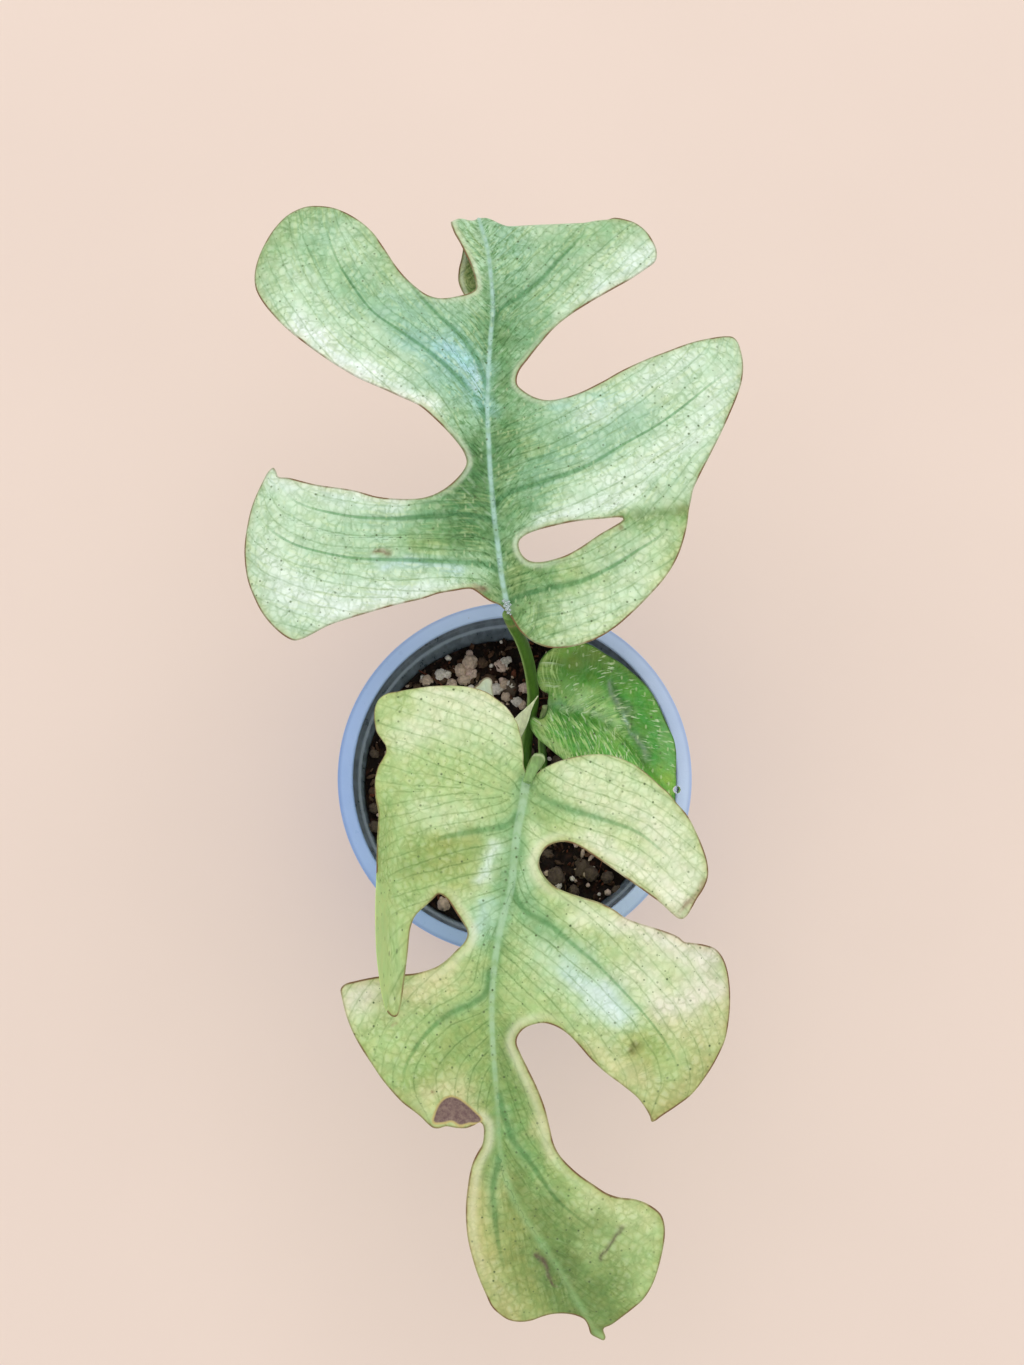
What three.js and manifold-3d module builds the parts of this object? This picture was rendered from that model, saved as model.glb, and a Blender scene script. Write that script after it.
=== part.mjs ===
// A small split-leaf aroid (mini monstera) growing in its nursery pot.
// Millimetres, +Z up. The origin is the middle of the pot's flat underside.
// The leaf blades look toward +Z, and the long lower leaf reaches toward -Y.
import * as THREE from "three";
import { mergeVertices } from "three/addons/utils/BufferGeometryUtils.js";
import Module from "manifold-3d";

// ---- Driving dimensions ----
const POT_HEIGHT = 90;
const POT_RIM_RADIUS = 52.5;
const POT_BASE_RADIUS = 36;
const POT_WALL = 1.2;
const POT_FLOOR = 1.6;
const RIM_WIDTH = 4.6;
const RIM_SKIRT = 6;
const COLLAR_DEPTH = 8.4;
const LEDGE_WIDTH = 1;
const LEDGE_INSET = 0.7;
const LEDGE_DROP = 0.6;
const EDGE_ROUND = 0.5;
const DRAIN_COUNT = 8;
const DRAIN_RADIUS = 3.5;
const DRAIN_CIRCLE = 24;
const POT_SIDES = 48;

const GAP = 0.35;
const SOIL_LEVEL = 74.5;
const SOIL_SLOPE_X = -0.085;
const SOIL_SLOPE_Y = -0.075;
const SOIL_ROUGHNESS = 0.5;
const GRAIN_COUNT = 64;
const GRAIN_MIN = 1.7;
const GRAIN_MAX = 3.1;
const GRAIN_SEED = 11;
const GRAIN_REACH = 40.5;
const GRAIN_SINK = 0.25;
const GRAIN_STRETCH = [1.15, 0.9, 0.8];
const STEM_CLEARANCE = 4;

const STEM_RADIUS = 3.2;
const PETIOLE_RADIUS = 1.8;
const SMALL_PETIOLE_RADIUS = 1.2;
const BLADE_THICKNESS = 0.8;
const BLADE_EDGE_STEP = 2.3;
const BLADE_SPACING = 6;
const BLADE_FINE_SPACING = 4.4;
const FOLD_ROW_STEP = 1.7;
const RIB_SOFTNESS = 3;
const EDGE_DROOP = 0.02;

// The plant's own frame stands a little off the pot's axis.
const PLANT_PLACE = new THREE.Vector3(0.3, -1.2, 0);

// Where each blade joins its petiole, in the plant's frame.
const UPPER_BASE = new THREE.Vector3(-2, 37, 150);
const LOWER_BASE = new THREE.Vector3(3, -3, 139);
const SMALL_BASE = new THREE.Vector3(9, 20.5, 101);
const YOUNG_BASE = new THREE.Vector3(-5.5, 16, 108);

const COLOURS = {
  pot: 0x8ea2bf,
  soil: 0x2a1f1a,
  stem: 0x4f7a2c,
  petiole: 0x6b9a3a,
  blade: 0xbcd9a8,
  smallBlade: 0x5fa23c,
  spear: 0xb9c48f,
  young: 0xdcefdc,
};

const wasm = await Module();
wasm.setup();

// ---- Helpers: solids ----
function solidOf(geometry) {
  const bare = geometry.clone();
  bare.deleteAttribute("normal");
  bare.deleteAttribute("uv");
  const merged = mergeVertices(bare, 1e-4);
  return new wasm.Manifold(
    new wasm.Mesh({
      numProp: 3,
      vertProperties: new Float32Array(merged.attributes.position.array),
      triVerts: new Uint32Array(merged.index.array),
    }),
  );
}

function geometryOf(solid) {
  const mesh = solid.getMesh();
  const geometry = new THREE.BufferGeometry();
  geometry.setAttribute("position", new THREE.BufferAttribute(mesh.vertProperties, 3));
  geometry.setIndex(new THREE.BufferAttribute(mesh.triVerts, 1));
  geometry.computeVertexNormals();
  return geometry;
}

// A profile of [radius, height] pairs turned round the Z axis.
function turned(profile, sides) {
  const points = profile.map(([radius, height]) => new THREE.Vector2(radius, height));
  const geometry = new THREE.LatheGeometry(points, sides);
  geometry.rotateX(Math.PI / 2);
  return geometry;
}

function seededRandom(seed) {
  let state = seed;
  return () => {
    state = (state * 1664525 + 1013904223) % 4294967296;
    return state / 4294967296;
  };
}

function smoothStep(value) {
  const t = Math.min(Math.max(value, 0), 1);
  return t * t * (3 - 2 * t);
}

// A round bump of height 1 at the centre.
function bump(distance, width) {
  return Math.exp(-((distance / width) ** 2));
}

function listToVectors(list) {
  return list.map(([x, y, z]) => new THREE.Vector3(x, y, z));
}

// A closed tube along a smooth path, its radius given along the path from 0 to 1.
function taperedTube(path, radiusAt, steps, sides) {
  const curve = new THREE.CatmullRomCurve3(listToVectors(path), false, "centripetal");
  const frames = curve.computeFrenetFrames(steps, false);
  const positions = [];
  const index = [];
  for (let i = 0; i <= steps; i++) {
    const centre = curve.getPointAt(i / steps);
    const radius = radiusAt(i / steps);
    for (let j = 0; j < sides; j++) {
      const angle = (2 * Math.PI * j) / sides;
      const spot = centre.clone();
      spot.addScaledVector(frames.normals[i], radius * Math.cos(angle));
      spot.addScaledVector(frames.binormals[i], radius * Math.sin(angle));
      positions.push(spot.x, spot.y, spot.z);
    }
  }
  const first = positions.length / 3;
  const start = curve.getPointAt(0);
  const end = curve.getPointAt(1);
  positions.push(start.x, start.y, start.z, end.x, end.y, end.z);
  for (let i = 0; i < steps; i++) {
    for (let j = 0; j < sides; j++) {
      const a = i * sides + j;
      const b = i * sides + ((j + 1) % sides);
      index.push(a, b, a + sides, b, b + sides, a + sides);
    }
  }
  const last = steps * sides;
  for (let j = 0; j < sides; j++) {
    const next = (j + 1) % sides;
    index.push(first, next, j);
    index.push(first + 1, last + j, last + next);
  }
  const geometry = new THREE.BufferGeometry();
  geometry.setAttribute("position", new THREE.Float32BufferAttribute(positions, 3));
  geometry.setIndex(index);
  geometry.computeVertexNormals();
  return geometry;
}

// ---- Helpers: leaf blades ----
// A smooth closed line through hand-placed points, cut into even steps.
function smoothLoop(points, step) {
  const corners = points.map(([u, v]) => new THREE.Vector3(u, v, 0));
  const curve = new THREE.CatmullRomCurve3(corners, true, "centripetal");
  curve.arcLengthDivisions = 4000;
  const count = Math.round(curve.getLength() / step);
  return curve
    .getSpacedPoints(count)
    .slice(0, count)
    .map((spot) => [spot.x, spot.y]);
}

function insideLoop([u, v], loop) {
  let inside = false;
  loop.forEach(([u1, v1], i) => {
    const [u2, v2] = loop[(i + 1) % loop.length];
    if (v1 > v !== v2 > v && u < u1 + ((u2 - u1) * (v - v1)) / (v2 - v1)) {
      inside = !inside;
    }
  });
  return inside;
}

function inBlade(spot, loops) {
  return insideLoop(spot, loops[0]) && !loops.slice(1).some((hole) => insideLoop(spot, hole));
}

function distanceToLoops([u, v], loops) {
  let nearest = Infinity;
  for (const loop of loops) {
    for (const [pu, pv] of loop) {
      nearest = Math.min(nearest, Math.hypot(pu - u, pv - v));
    }
  }
  return nearest;
}

// Points on a triangular lattice inside the blade, kept clear of its edges.
function latticePoints(loops, spacing, rowSpacingAt) {
  const us = loops[0].map(([u]) => u);
  const vs = loops[0].map(([, v]) => v);
  const spots = [];
  let row = 0;
  let v = Math.min(...vs) + spacing / 3;
  while (v < Math.max(...vs)) {
    const height = rowSpacingAt(v);
    let u = Math.min(...us) + (row % 2 ? spacing / 2 : 0);
    while (u < Math.max(...us)) {
      const spot = [u + 0.11 * Math.sin(7 * row + u), v + 0.11 * Math.cos(5 * u)];
      if (inBlade(spot, loops) && distanceToLoops(spot, loops) > 0.55 * height) {
        spots.push(spot);
      }
      u += spacing;
    }
    v += height;
    row += 1;
  }
  return spots;
}

function inCircle(spots, [a, b, c], [u, v]) {
  const rows = [a, b, c].map((k) => {
    const du = spots[k][0] - u;
    const dv = spots[k][1] - v;
    return [du, dv, du * du + dv * dv];
  });
  const [p, q, r] = rows;
  return (
    p[0] * (q[1] * r[2] - r[1] * q[2]) -
      p[1] * (q[0] * r[2] - r[0] * q[2]) +
      p[2] * (q[0] * r[1] - r[0] * q[1]) >
    0
  );
}

// Delaunay triangles of flat points, by adding one point at a time.
function delaunay(points) {
  const far = 4000;
  const count = points.length;
  const spots = [...points, [-far, -far], [far, -far], [0, far]];
  let triangles = [[count, count + 1, count + 2]];
  points.forEach((spot, k) => {
    const edges = new Map();
    const kept = [];
    for (const triangle of triangles) {
      if (!inCircle(spots, triangle, spot)) {
        kept.push(triangle);
        continue;
      }
      for (let i = 0; i < 3; i++) {
        const from = triangle[i];
        const to = triangle[(i + 1) % 3];
        if (!edges.delete(`${to},${from}`)) {
          edges.set(`${from},${to}`, [from, to]);
        }
      }
    }
    for (const [from, to] of edges.values()) {
      kept.push([from, to, k]);
    }
    triangles = kept;
  });
  return triangles.filter((triangle) => triangle.every((k) => k < count));
}

// Splits every edge of a loop that the triangles leave out.
function splitMissingEdges(loops, triangles) {
  const made = new Set();
  for (const [a, b, c] of triangles) {
    made.add(`${a},${b}`).add(`${b},${a}`).add(`${b},${c}`);
    made.add(`${c},${b}`).add(`${c},${a}`).add(`${a},${c}`);
  }
  let offset = 0;
  let missing = 0;
  const split = loops.map((loop) => {
    const next = [];
    loop.forEach((spot, i) => {
      const other = (i + 1) % loop.length;
      next.push(spot);
      if (!made.has(`${offset + i},${offset + other}`)) {
        next.push([(spot[0] + loop[other][0]) / 2, (spot[1] + loop[other][1]) / 2]);
        missing += 1;
      }
    });
    offset += loop.length;
    return next;
  });
  return { split, missing };
}

function flatBlade(outline, holes, edgeStep, spacing, rowSpacingAt) {
  let loops = [outline, ...holes].map((points) => smoothLoop(points, edgeStep));
  const lattice = latticePoints(loops, spacing, rowSpacingAt);
  let spots = [];
  let triangles = [];
  let missing = 1;
  while (missing > 0) {
    spots = [...loops.flat(), ...lattice];
    triangles = delaunay(spots);
    const result = splitMissingEdges(loops, triangles);
    missing = result.missing;
    if (missing > 0) {
      loops = result.split;
    }
  }
  triangles = triangles.filter((triangle) => {
    const u = triangle.reduce((sum, k) => sum + spots[k][0], 0) / 3;
    const v = triangle.reduce((sum, k) => sum + spots[k][1], 0) / 3;
    return inBlade([u, v], loops);
  });
  return { spots, triangles };
}

// Bends a flat blade to its surface and gives it two faces, split alike, and an edge.
function bladeGeometry(flat, surface, thickness) {
  const { spots, triangles } = flat;
  const tiny = 0.02;
  const top = [];
  const bottom = [];
  for (const [u, v] of spots) {
    const centre = surface(u, v);
    const along = surface(u + tiny, v).sub(surface(u - tiny, v));
    const across = surface(u, v + tiny).sub(surface(u, v - tiny));
    const normal = along.cross(across).normalize();
    const upper = centre.clone().addScaledVector(normal, thickness / 2);
    const lower = centre.clone().addScaledVector(normal, -thickness / 2);
    top.push(upper.x, upper.y, upper.z);
    bottom.push(lower.x, lower.y, lower.z);
  }
  const count = spots.length;
  const index = [];
  const edges = new Map();
  for (const [a, b, c] of triangles) {
    index.push(a, b, c, count + a, count + c, count + b);
    for (const [from, to] of [[a, b], [b, c], [c, a]]) {
      if (!edges.delete(`${to},${from}`)) {
        edges.set(`${from},${to}`, [from, to]);
      }
    }
  }
  for (const [from, to] of edges.values()) {
    index.push(from, count + from, to, to, count + from, count + to);
  }
  const geometry = new THREE.BufferGeometry();
  geometry.setAttribute("position", new THREE.Float32BufferAttribute([...top, ...bottom], 3));
  geometry.setIndex(index);
  geometry.computeVertexNormals();
  return geometry;
}

// A slope that bends down as the distance grows.
function bowed(distance, slope, bend) {
  return slope * distance - bend * distance * distance;
}

// Distance from the rib, rounded at the rib itself.
function ribDistance(offset, softness) {
  return Math.sqrt(offset * offset + softness * softness) - softness;
}

// ---- Pot ----
function potGeometry() {
  const rimInner = POT_RIM_RADIUS - RIM_WIDTH;
  const lipInner = POT_RIM_RADIUS - POT_WALL;
  const ledgeOuter = rimInner - LEDGE_INSET;
  const ledgeInner = ledgeOuter - LEDGE_WIDTH;
  const ledgeLow = POT_HEIGHT - COLLAR_DEPTH;
  const ledgeTop = ledgeLow + LEDGE_DROP;
  const flangeUnder = POT_HEIGHT - POT_WALL;
  const skirtBottom = POT_HEIGHT - RIM_SKIRT;
  const profile = [
    [0, 0],
    [POT_BASE_RADIUS - EDGE_ROUND, 0],
    [POT_BASE_RADIUS + EDGE_ROUND / 2, EDGE_ROUND],
    [ledgeInner + POT_WALL, ledgeLow - POT_WALL],
    [ledgeOuter + POT_WALL, ledgeLow],
    [rimInner + POT_WALL, flangeUnder],
    [lipInner, flangeUnder],
    [lipInner, skirtBottom],
    [POT_RIM_RADIUS - EDGE_ROUND, skirtBottom],
    [POT_RIM_RADIUS, POT_HEIGHT - 2 * EDGE_ROUND],
    [POT_RIM_RADIUS - EDGE_ROUND / 2, POT_HEIGHT - EDGE_ROUND / 2],
    [POT_RIM_RADIUS - 2 * EDGE_ROUND, POT_HEIGHT],
    [rimInner + EDGE_ROUND, POT_HEIGHT],
    [rimInner, POT_HEIGHT - EDGE_ROUND],
    [ledgeOuter, ledgeTop],
    [ledgeInner, ledgeLow],
    [POT_BASE_RADIUS - 2 * EDGE_ROUND, POT_FLOOR],
    [0, POT_FLOOR],
  ];
  let pot = solidOf(turned(profile, POT_SIDES));
  for (let i = 0; i < DRAIN_COUNT; i++) {
    const angle = (2 * Math.PI * (i + 0.5)) / DRAIN_COUNT;
    const drill = new THREE.CylinderGeometry(DRAIN_RADIUS, DRAIN_RADIUS, 4 * POT_FLOOR, 10);
    drill.rotateX(Math.PI / 2);
    drill.translate(DRAIN_CIRCLE * Math.cos(angle), DRAIN_CIRCLE * Math.sin(angle), 0);
    pot = pot.subtract(solidOf(drill));
  }
  return geometryOf(pot);
}

// ---- Soil ----
function soilTop(x, y) {
  const waves = Math.sin(0.31 * x + 1.3) * Math.cos(0.27 * y - 0.6);
  return SOIL_LEVEL + SOIL_SLOPE_X * x + SOIL_SLOPE_Y * y + SOIL_ROUGHNESS * waves;
}

function soilWallRadius(height) {
  const ledgeRadius = POT_RIM_RADIUS - RIM_WIDTH - LEDGE_INSET - LEDGE_WIDTH;
  const ledgeHeight = POT_HEIGHT - COLLAR_DEPTH;
  const share = (height - POT_FLOOR) / (ledgeHeight - POT_FLOOR);
  const floorRadius = POT_BASE_RADIUS - 2 * EDGE_ROUND;
  return floorRadius + share * (ledgeRadius - floorRadius) - GAP;
}

function soilBody() {
  const floor = POT_FLOOR + GAP;
  const edge = soilWallRadius(SOIL_LEVEL);
  const rings = [1, 0.76, 0.53, 0.27, 0];
  const profile = [
    [0, floor],
    [soilWallRadius(floor), floor],
    ...rings.map((share) => [share * edge, SOIL_LEVEL]),
  ];
  const geometry = turned(profile, POT_SIDES);
  const position = geometry.attributes.position;
  for (let i = 0; i < position.count; i++) {
    if (position.getZ(i) > SOIL_LEVEL - 1) {
      const x = position.getX(i);
      const y = position.getY(i);
      const height = soilTop(x, y);
      const shrink = soilWallRadius(height) / edge;
      position.setXYZ(i, x * shrink, y * shrink, height);
    }
  }
  return solidOf(geometry);
}

// Perlite and bark grains, each sunk well into the soil.
function withGrains(soil) {
  const random = seededRandom(GRAIN_SEED);
  const golden = Math.PI * (3 - Math.sqrt(5));
  const stemX = STEM_FOOT[0] + PLANT_PLACE.x;
  const stemY = STEM_FOOT[1] + PLANT_PLACE.y;
  let result = soil;
  for (let i = 0; i < GRAIN_COUNT; i++) {
    const size = GRAIN_MIN + (GRAIN_MAX - GRAIN_MIN) * random();
    const reach = GRAIN_REACH * Math.sqrt((i + 0.5) / GRAIN_COUNT);
    const angle = golden * i + 0.5 * random();
    const x = reach * Math.cos(angle);
    const y = reach * Math.sin(angle);
    const grain = new THREE.IcosahedronGeometry(size, 0);
    grain.scale(...GRAIN_STRETCH);
    grain.rotateX(2 * random());
    grain.rotateZ(6 * random());
    grain.translate(x, y, soilTop(x, y) - GRAIN_SINK * size);
    if (Math.hypot(x - stemX, y - stemY) > STEM_RADIUS + size + STEM_CLEARANCE) {
      result = result.add(solidOf(grain));
    }
  }
  return result;
}

// ---- Stems ----
const STEM_FOOT = [2.4, -5.4, 48];
const STEM_TOP = [3, -4, 86];

function stemHole() {
  const along = new THREE.Vector3(...STEM_TOP).sub(new THREE.Vector3(...STEM_FOOT)).normalize();
  const foot = new THREE.Vector3(...STEM_FOOT).addScaledVector(along, -GAP);
  const hole = taperedTube([foot.toArray(), STEM_TOP], () => STEM_RADIUS + GAP, 1, 16);
  return hole.translate(...PLANT_PLACE.toArray());
}

function soilGeometry() {
  return geometryOf(withGrains(soilBody()).subtract(solidOf(stemHole())));
}

// A short climbing stem with a ring at each leaf scar.
function stemGeometry() {
  const swell = (t) => STEM_RADIUS - 0.35 + 0.35 * bump(t - 0.86, 0.05) + 0.3 * bump(t - 0.7, 0.04);
  return taperedTube([STEM_FOOT, STEM_TOP], swell, 24, 12);
}

const UPPER_PETIOLE_PATH = [
  [3.3, -0.25, 78.1],
  [3.2, 3, 79.2],
  [3.2, 10.6, 86],
  [4.2, 17, 94.5],
  [5.0, 21.6, 101.5],
  [4.5, 26.1, 110.5],
  [3.3, 29.8, 121],
  [1.4, 33, 133],
  [-0.6, 35.1, 142],
  [-1.9, 36.6, 148.5],
];

const LOWER_PETIOLE_PATH = [
  [3, -3.95, 86.4],
  [3.4, -3, 95],
  [4.3, 0, 109],
  [4.7, 1.2, 122],
  [4.6, 0.4, 131],
  [4.4, -0.7, 135.1],
  [3.5, -3.5, 136.7],
];

const SMALL_PETIOLE_PATH = [
  [6.9, -4.4, 80.6],
  [8.3, -3.8, 81.2],
  [8.6, 1.5, 84.2],
  [7.8, 10.5, 90],
  [8, 16.6, 95.6],
  [8.9, 20, 99.4],
];

const SPEAR_PATH = [
  [0.6, -0.8, 83.5],
  [-0.9, 3, 87],
  [-0.9, 8.5, 93],
  [0.3, 13.2, 100],
  [2.9, 16.8, 108.5],
  [6.1, 20.2, 118],
];

const YOUNG_STALK_PATH = [
  [-1.2, -4.5, 80.4],
  [-2.8, -4, 81],
  [-4.6, 1.6, 88],
  [-5.7, 10, 99.5],
  [-5.5, 15, 107],
  [-6.6, 18.4, 109.6],
];

// The sheath at the foot and the thick joint under the blade are both wider than the stalk.
function petioleRadius(radius, sheath, joint) {
  return (t) => radius + sheath * bump(t, 0.14) + joint * bump(t - 0.95, 0.07);
}

// ---- Upper leaf: outline points are [right, up] from the blade's joint ----
const UPPER_OUTLINE = [
  [0.2, -0.6], [-1, 0.6], [-2.4, 1.9], [-4.2, 2.5], [-6, 3.5], [-8.4, 5.2], [-9.7, 5.8],
  [-14, 5.2], [-18, 4.4], [-22, 3], [-30, 1], [-38, -1.4], [-46, -4], [-50, -6], [-53, -7.4],
  [-55, -7.8], [-57, -7], [-60, -4.6], [-63.5, -0.5], [-66, 4], [-68, 9], [-69, 16],
  [-68.5, 22], [-67.2, 28], [-65, 33], [-62.7, 37], [-61.4, 37.9], [-60.7, 37], [-60, 35.4],
  [-57, 34.9], [-50, 33], [-40, 31.4], [-34, 29.8], [-28, 29.3], [-22, 29.7], [-17, 32],
  [-13, 35.8], [-11.3, 38.5], [-11, 40], [-12, 43], [-15, 47], [-18.2, 50.4], [-23.4, 55],
  [-29, 57.6], [-34, 59.9], [-40, 62.8], [-45, 66], [-50, 69.5], [-55, 73.4], [-60, 78],
  [-64, 82.6], [-67, 87], [-68.8, 91], [-69.3, 95], [-68.5, 100], [-66.5, 105],
  [-63.5, 110], [-60, 113.5], [-56.5, 115.3], [-52.5, 115.7], [-48, 114.8], [-44, 112.9],
  [-40.3, 110.2], [-37, 106.7], [-34, 102], [-31, 97], [-28, 93], [-25, 90], [-22, 87.8],
  [-19, 87], [-16, 87.3], [-13.3, 88.1], [-10.8, 89], [-9, 90.4], [-8.9, 92], [-9.4, 94.5],
  [-10.4, 98], [-11.7, 101], [-13.5, 105], [-15.2, 108.4], [-16, 112], [-15.8, 116],
  [-14.2, 120], [-12.9, 123.6], [-13.2, 127.5], [-13.9, 131], [-13.9, 135],
  [-12.5, 138.8], [-9.5, 141.4], [-5, 142], [0, 139], [7, 133], [13, 127], [18, 121.6],
  [21.8, 116.4],
  [24.6, 113], [27.6, 112], [31.5, 111.2], [34.8, 109.8], [37.6, 107.2], [39.4, 104],
  [40.3, 100.8], [39.8, 97.8],
  [37, 95.3], [33, 92.3], [28, 89], [22, 85.2], [16, 81.2], [12, 77.6], [8, 72.8],
  [5, 68.8], [3, 66], [2.2, 63.5], [2.4, 61.5], [4, 59.7], [7, 57.7], [10.5, 56.8],
  [15, 57.4], [20, 59.2], [25, 61.8], [30, 64.8], [36, 67.8], [42, 70.4], [48, 72.8],
  [54, 74.6], [58, 75.8], [60.2, 76], [61.5, 75], [62.5, 72], [62.9, 68.5], [62.4, 64],
  [60.8, 59], [58.5, 53.5], [56, 48], [52.3, 40.5], [49.5, 35], [47.9, 31.5], [47.2, 28.5],
  [46.2, 22], [45, 17.5], [43.2, 13], [40, 8], [36, 3.5], [32, -0.5], [27.5, -4.4],
  [23, -7.2], [18, -9], [14, -9.6], [10, -9.3], [6, -7.6], [3, -5], [1.3, -2.4],
];

const UPPER_HOLE = [
  [2.6, 18], [2.9, 16.2], [3.8, 14.6], [5.5, 13.3], [8, 12.9], [11, 13.3], [15, 14.6],
  [19, 16.8], [24, 20.2], [27.5, 22.3], [29.8, 23.9], [24, 23.7], [17, 23.2], [11, 22.2],
  [6, 20.9], [4, 19.9], [3, 19],
];

// The tip is folded under: the fold's place, its radius and how far it turns.
const FOLD_RADIUS = 3.2;
const FOLD_START = 0.19;
const FOLD_TURN = 3.1;

function foldLine(u) {
  const bumps = 2.8 * bump(u + 6.6, 3.8) + 2 * bump(u + 13.4, 2.8);
  const ends = smoothStep((u - 20) / 7) + 3 * smoothStep((u - 27) / 4);
  const left = 0.3 * smoothStep(-u / 3) + 20 * smoothStep((-18 - u) / 2);
  return 108.6 + bumps + ends + left;
}

function upperRib(v) {
  return -5.2 * Math.sin((Math.min(Math.max(v, 0), 110) / 110) * (Math.PI / 2));
}

function upperHeight(u, v) {
  const side = ribDistance(u - upperRib(v), RIB_SOFTNESS);
  const droop = EDGE_DROOP * Math.max(side - 52, 0) ** 2;
  return bowed(v, 0.08, 0.0012) + bowed(side, 0.16, 0.0022) - droop;
}

function upperSurface(u, v) {
  const fold = foldLine(u);
  const past = v - fold;
  if (past <= 0) {
    return new THREE.Vector3(u, v, upperHeight(u, v)).add(UPPER_BASE);
  }
  const turn = Math.min(past / FOLD_RADIUS, FOLD_TURN);
  const angle = FOLD_START + turn;
  const rest = past - turn * FOLD_RADIUS;
  const y = fold + FOLD_RADIUS * (Math.sin(angle) - Math.sin(FOLD_START));
  const z = FOLD_RADIUS * (Math.cos(angle) - Math.cos(FOLD_START));
  const spot = new THREE.Vector3(u, y, upperHeight(u, fold) + z);
  spot.y += rest * Math.cos(angle);
  spot.z -= rest * Math.sin(angle);
  return spot.add(UPPER_BASE);
}

// ---- Lower leaf ----
const LOWER_OUTLINE = [
  [0.2, -1.3], [-0.6, 0], [-1.1, 1.7], [-1.1, 4], [-1.4, 7], [-2, 10], [-2.6, 12.5],
  [-3.6, 14.2], [-5.5, 16.8], [-8, 19], [-11, 21], [-15, 22.2], [-19, 22.6], [-22, 22.6],
  [-26, 22.3], [-30, 21.7], [-34, 21], [-37, 20.4], [-39, 19], [-40, 17], [-40.3, 14.5],
  [-40, 12], [-39.5, 10], [-38, 7.8], [-37, 6.2], [-37, 4.6], [-37.8, 2.8], [-38.8, 1],
  [-39.6, -1.5], [-40.6, -5], [-42.6, -10], [-44.3, -15], [-45, -21], [-45.2, -28],
  [-45.6, -34], [-45.5, -38], [-44.2, -41.8], [-41.4, -45], [-37.6, -48.4],
  [-34.6, -50.8], [-33.2, -50.8], [-32.2, -48.6], [-31.4, -45.4], [-30.6, -42],
  [-30.1, -39.4], [-28.6, -37], [-26, -34.6],
  [-24.2, -33], [-23, -31.9], [-21.5, -32.5], [-20, -34.2], [-18.3, -36.8], [-16.5, -39.5],
  [-15.6, -41.2], [-15.6, -42.5], [-16.5, -44.3], [-18.5, -46.2], [-20.5, -48.2],
  [-23, -50], [-26, -51.2], [-29, -51.9], [-34, -52.3], [-39, -52.8], [-44, -53.8],
  [-46.8, -54.6], [-47.9, -55.8], [-47.6, -58], [-46.3, -63], [-44.4, -67.5],
  [-42.2, -71.3], [-39.6, -75.2], [-37.5, -78.3], [-35, -81.4], [-32, -84.6],
  [-29.6, -86.4], [-27.6, -88], [-25.8, -89.8], [-24.4, -90.9], [-23, -91.1], [-21, -90.6],
  [-18, -91.1], [-15.8, -91.1], [-13.8, -90.4], [-12.3, -89.7], [-11.5, -90.6],
  [-11.4, -93.5], [-11.8, -95.5], [-13, -97.5], [-14.2, -100], [-15, -103], [-15.6, -107],
  [-16, -111], [-16, -115], [-15.5, -120], [-14.2, -125.5], [-12.8, -130], [-11, -134.5],
  [-9.4, -138], [-7.5, -140], [-5, -141.7], [-2, -142.3], [1, -142], [4, -141],
  [6.5, -140.4], [10, -140.4], [13, -141], [15, -142], [16, -143.8], [16.7, -146],
  [18.5, -147.2], [20.2, -147.8], [20.6, -147], [20, -145], [20.1, -144.2], [22, -143.2],
  [25, -140.8], [28, -138.2], [30, -136.2], [32, -133], [33.5, -129], [34.6, -124.5],
  [35.4, -119.5], [35.3, -116], [34.5, -113.5], [33, -111.9], [30, -110.1], [27, -109.2],
  [23.5, -108.8], [20.5, -107.8], [17, -105.6], [13.5, -103.2], [10.5, -100.6],
  [8, -97.8], [6.6, -95], [5.5, -90.5], [4.2, -85.5], [2.2, -80.5], [0, -76], [-2, -72],
  [-2.9, -69.5], [-2.6, -67.8], [-1.2, -66], [1, -64.9], [4, -64.4], [7, -65.2],
  [10, -67], [13, -70], [16, -73.4], [20, -77], [24.5, -80.3], [28, -83.2], [30, -85.8],
  [31.2, -88], [31.6, -89.3], [32.5, -89.1], [34, -88], [38, -85.4], [42, -82.6],
  [45, -79.4], [48, -75.5], [50, -72.2], [51.5, -69], [52.4, -65], [52.9, -60],
  [52.7, -55], [51.8, -50.5], [50.3, -47.5], [48.3, -45.6], [45.5, -44.7], [42, -44.2],
  [40, -43.9], [38.5, -42.7], [36, -41.6], [32, -40.3], [28, -39.1], [25, -37.9],
  [22, -35.8], [18, -33.9], [14, -32.7], [10, -31.4], [7, -30], [4.6, -27.8],
  [3.2, -25.4], [2.9, -23.5], [3.4, -21.7], [5, -19.8], [7.5, -18.7], [10, -18.6],
  [13, -19.6], [17, -22.2], [22, -25.6], [26, -28.4], [30.5, -31.6], [34, -34.2],
  [37, -36.9], [38.4, -38], [39.5, -38.2], [40.6, -37.6], [42, -35.6], [43.4, -33.2],
  [45.2, -30.6], [46.3, -28.2], [46.6, -26], [46.2, -23], [45, -19.5], [43.2, -15.5],
  [41, -11.4], [38.5, -8.5], [36.5, -6], [34, -3.8], [31, -1], [27, 1.8], [22, 3.8],
  [18, 4.2], [13, 3.7], [8, 2.4], [4.5, 0.8], [2.2, -0.7],
];

// The left margin stands up in a curl, and its tip is drawn out over the next lobe.
const CURL_START = -30.1;
const CURL_RADIUS = 6;
const CURL_TURN = 1.3;
const CURL_TIP_REACH = 11.5;
const CURL_TIP_LIFT = 4;
const CURL_FRONT = -36;
const CURL_TIP_LENGTH = 14;
const CURL_LIMIT = -51.4;

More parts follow.
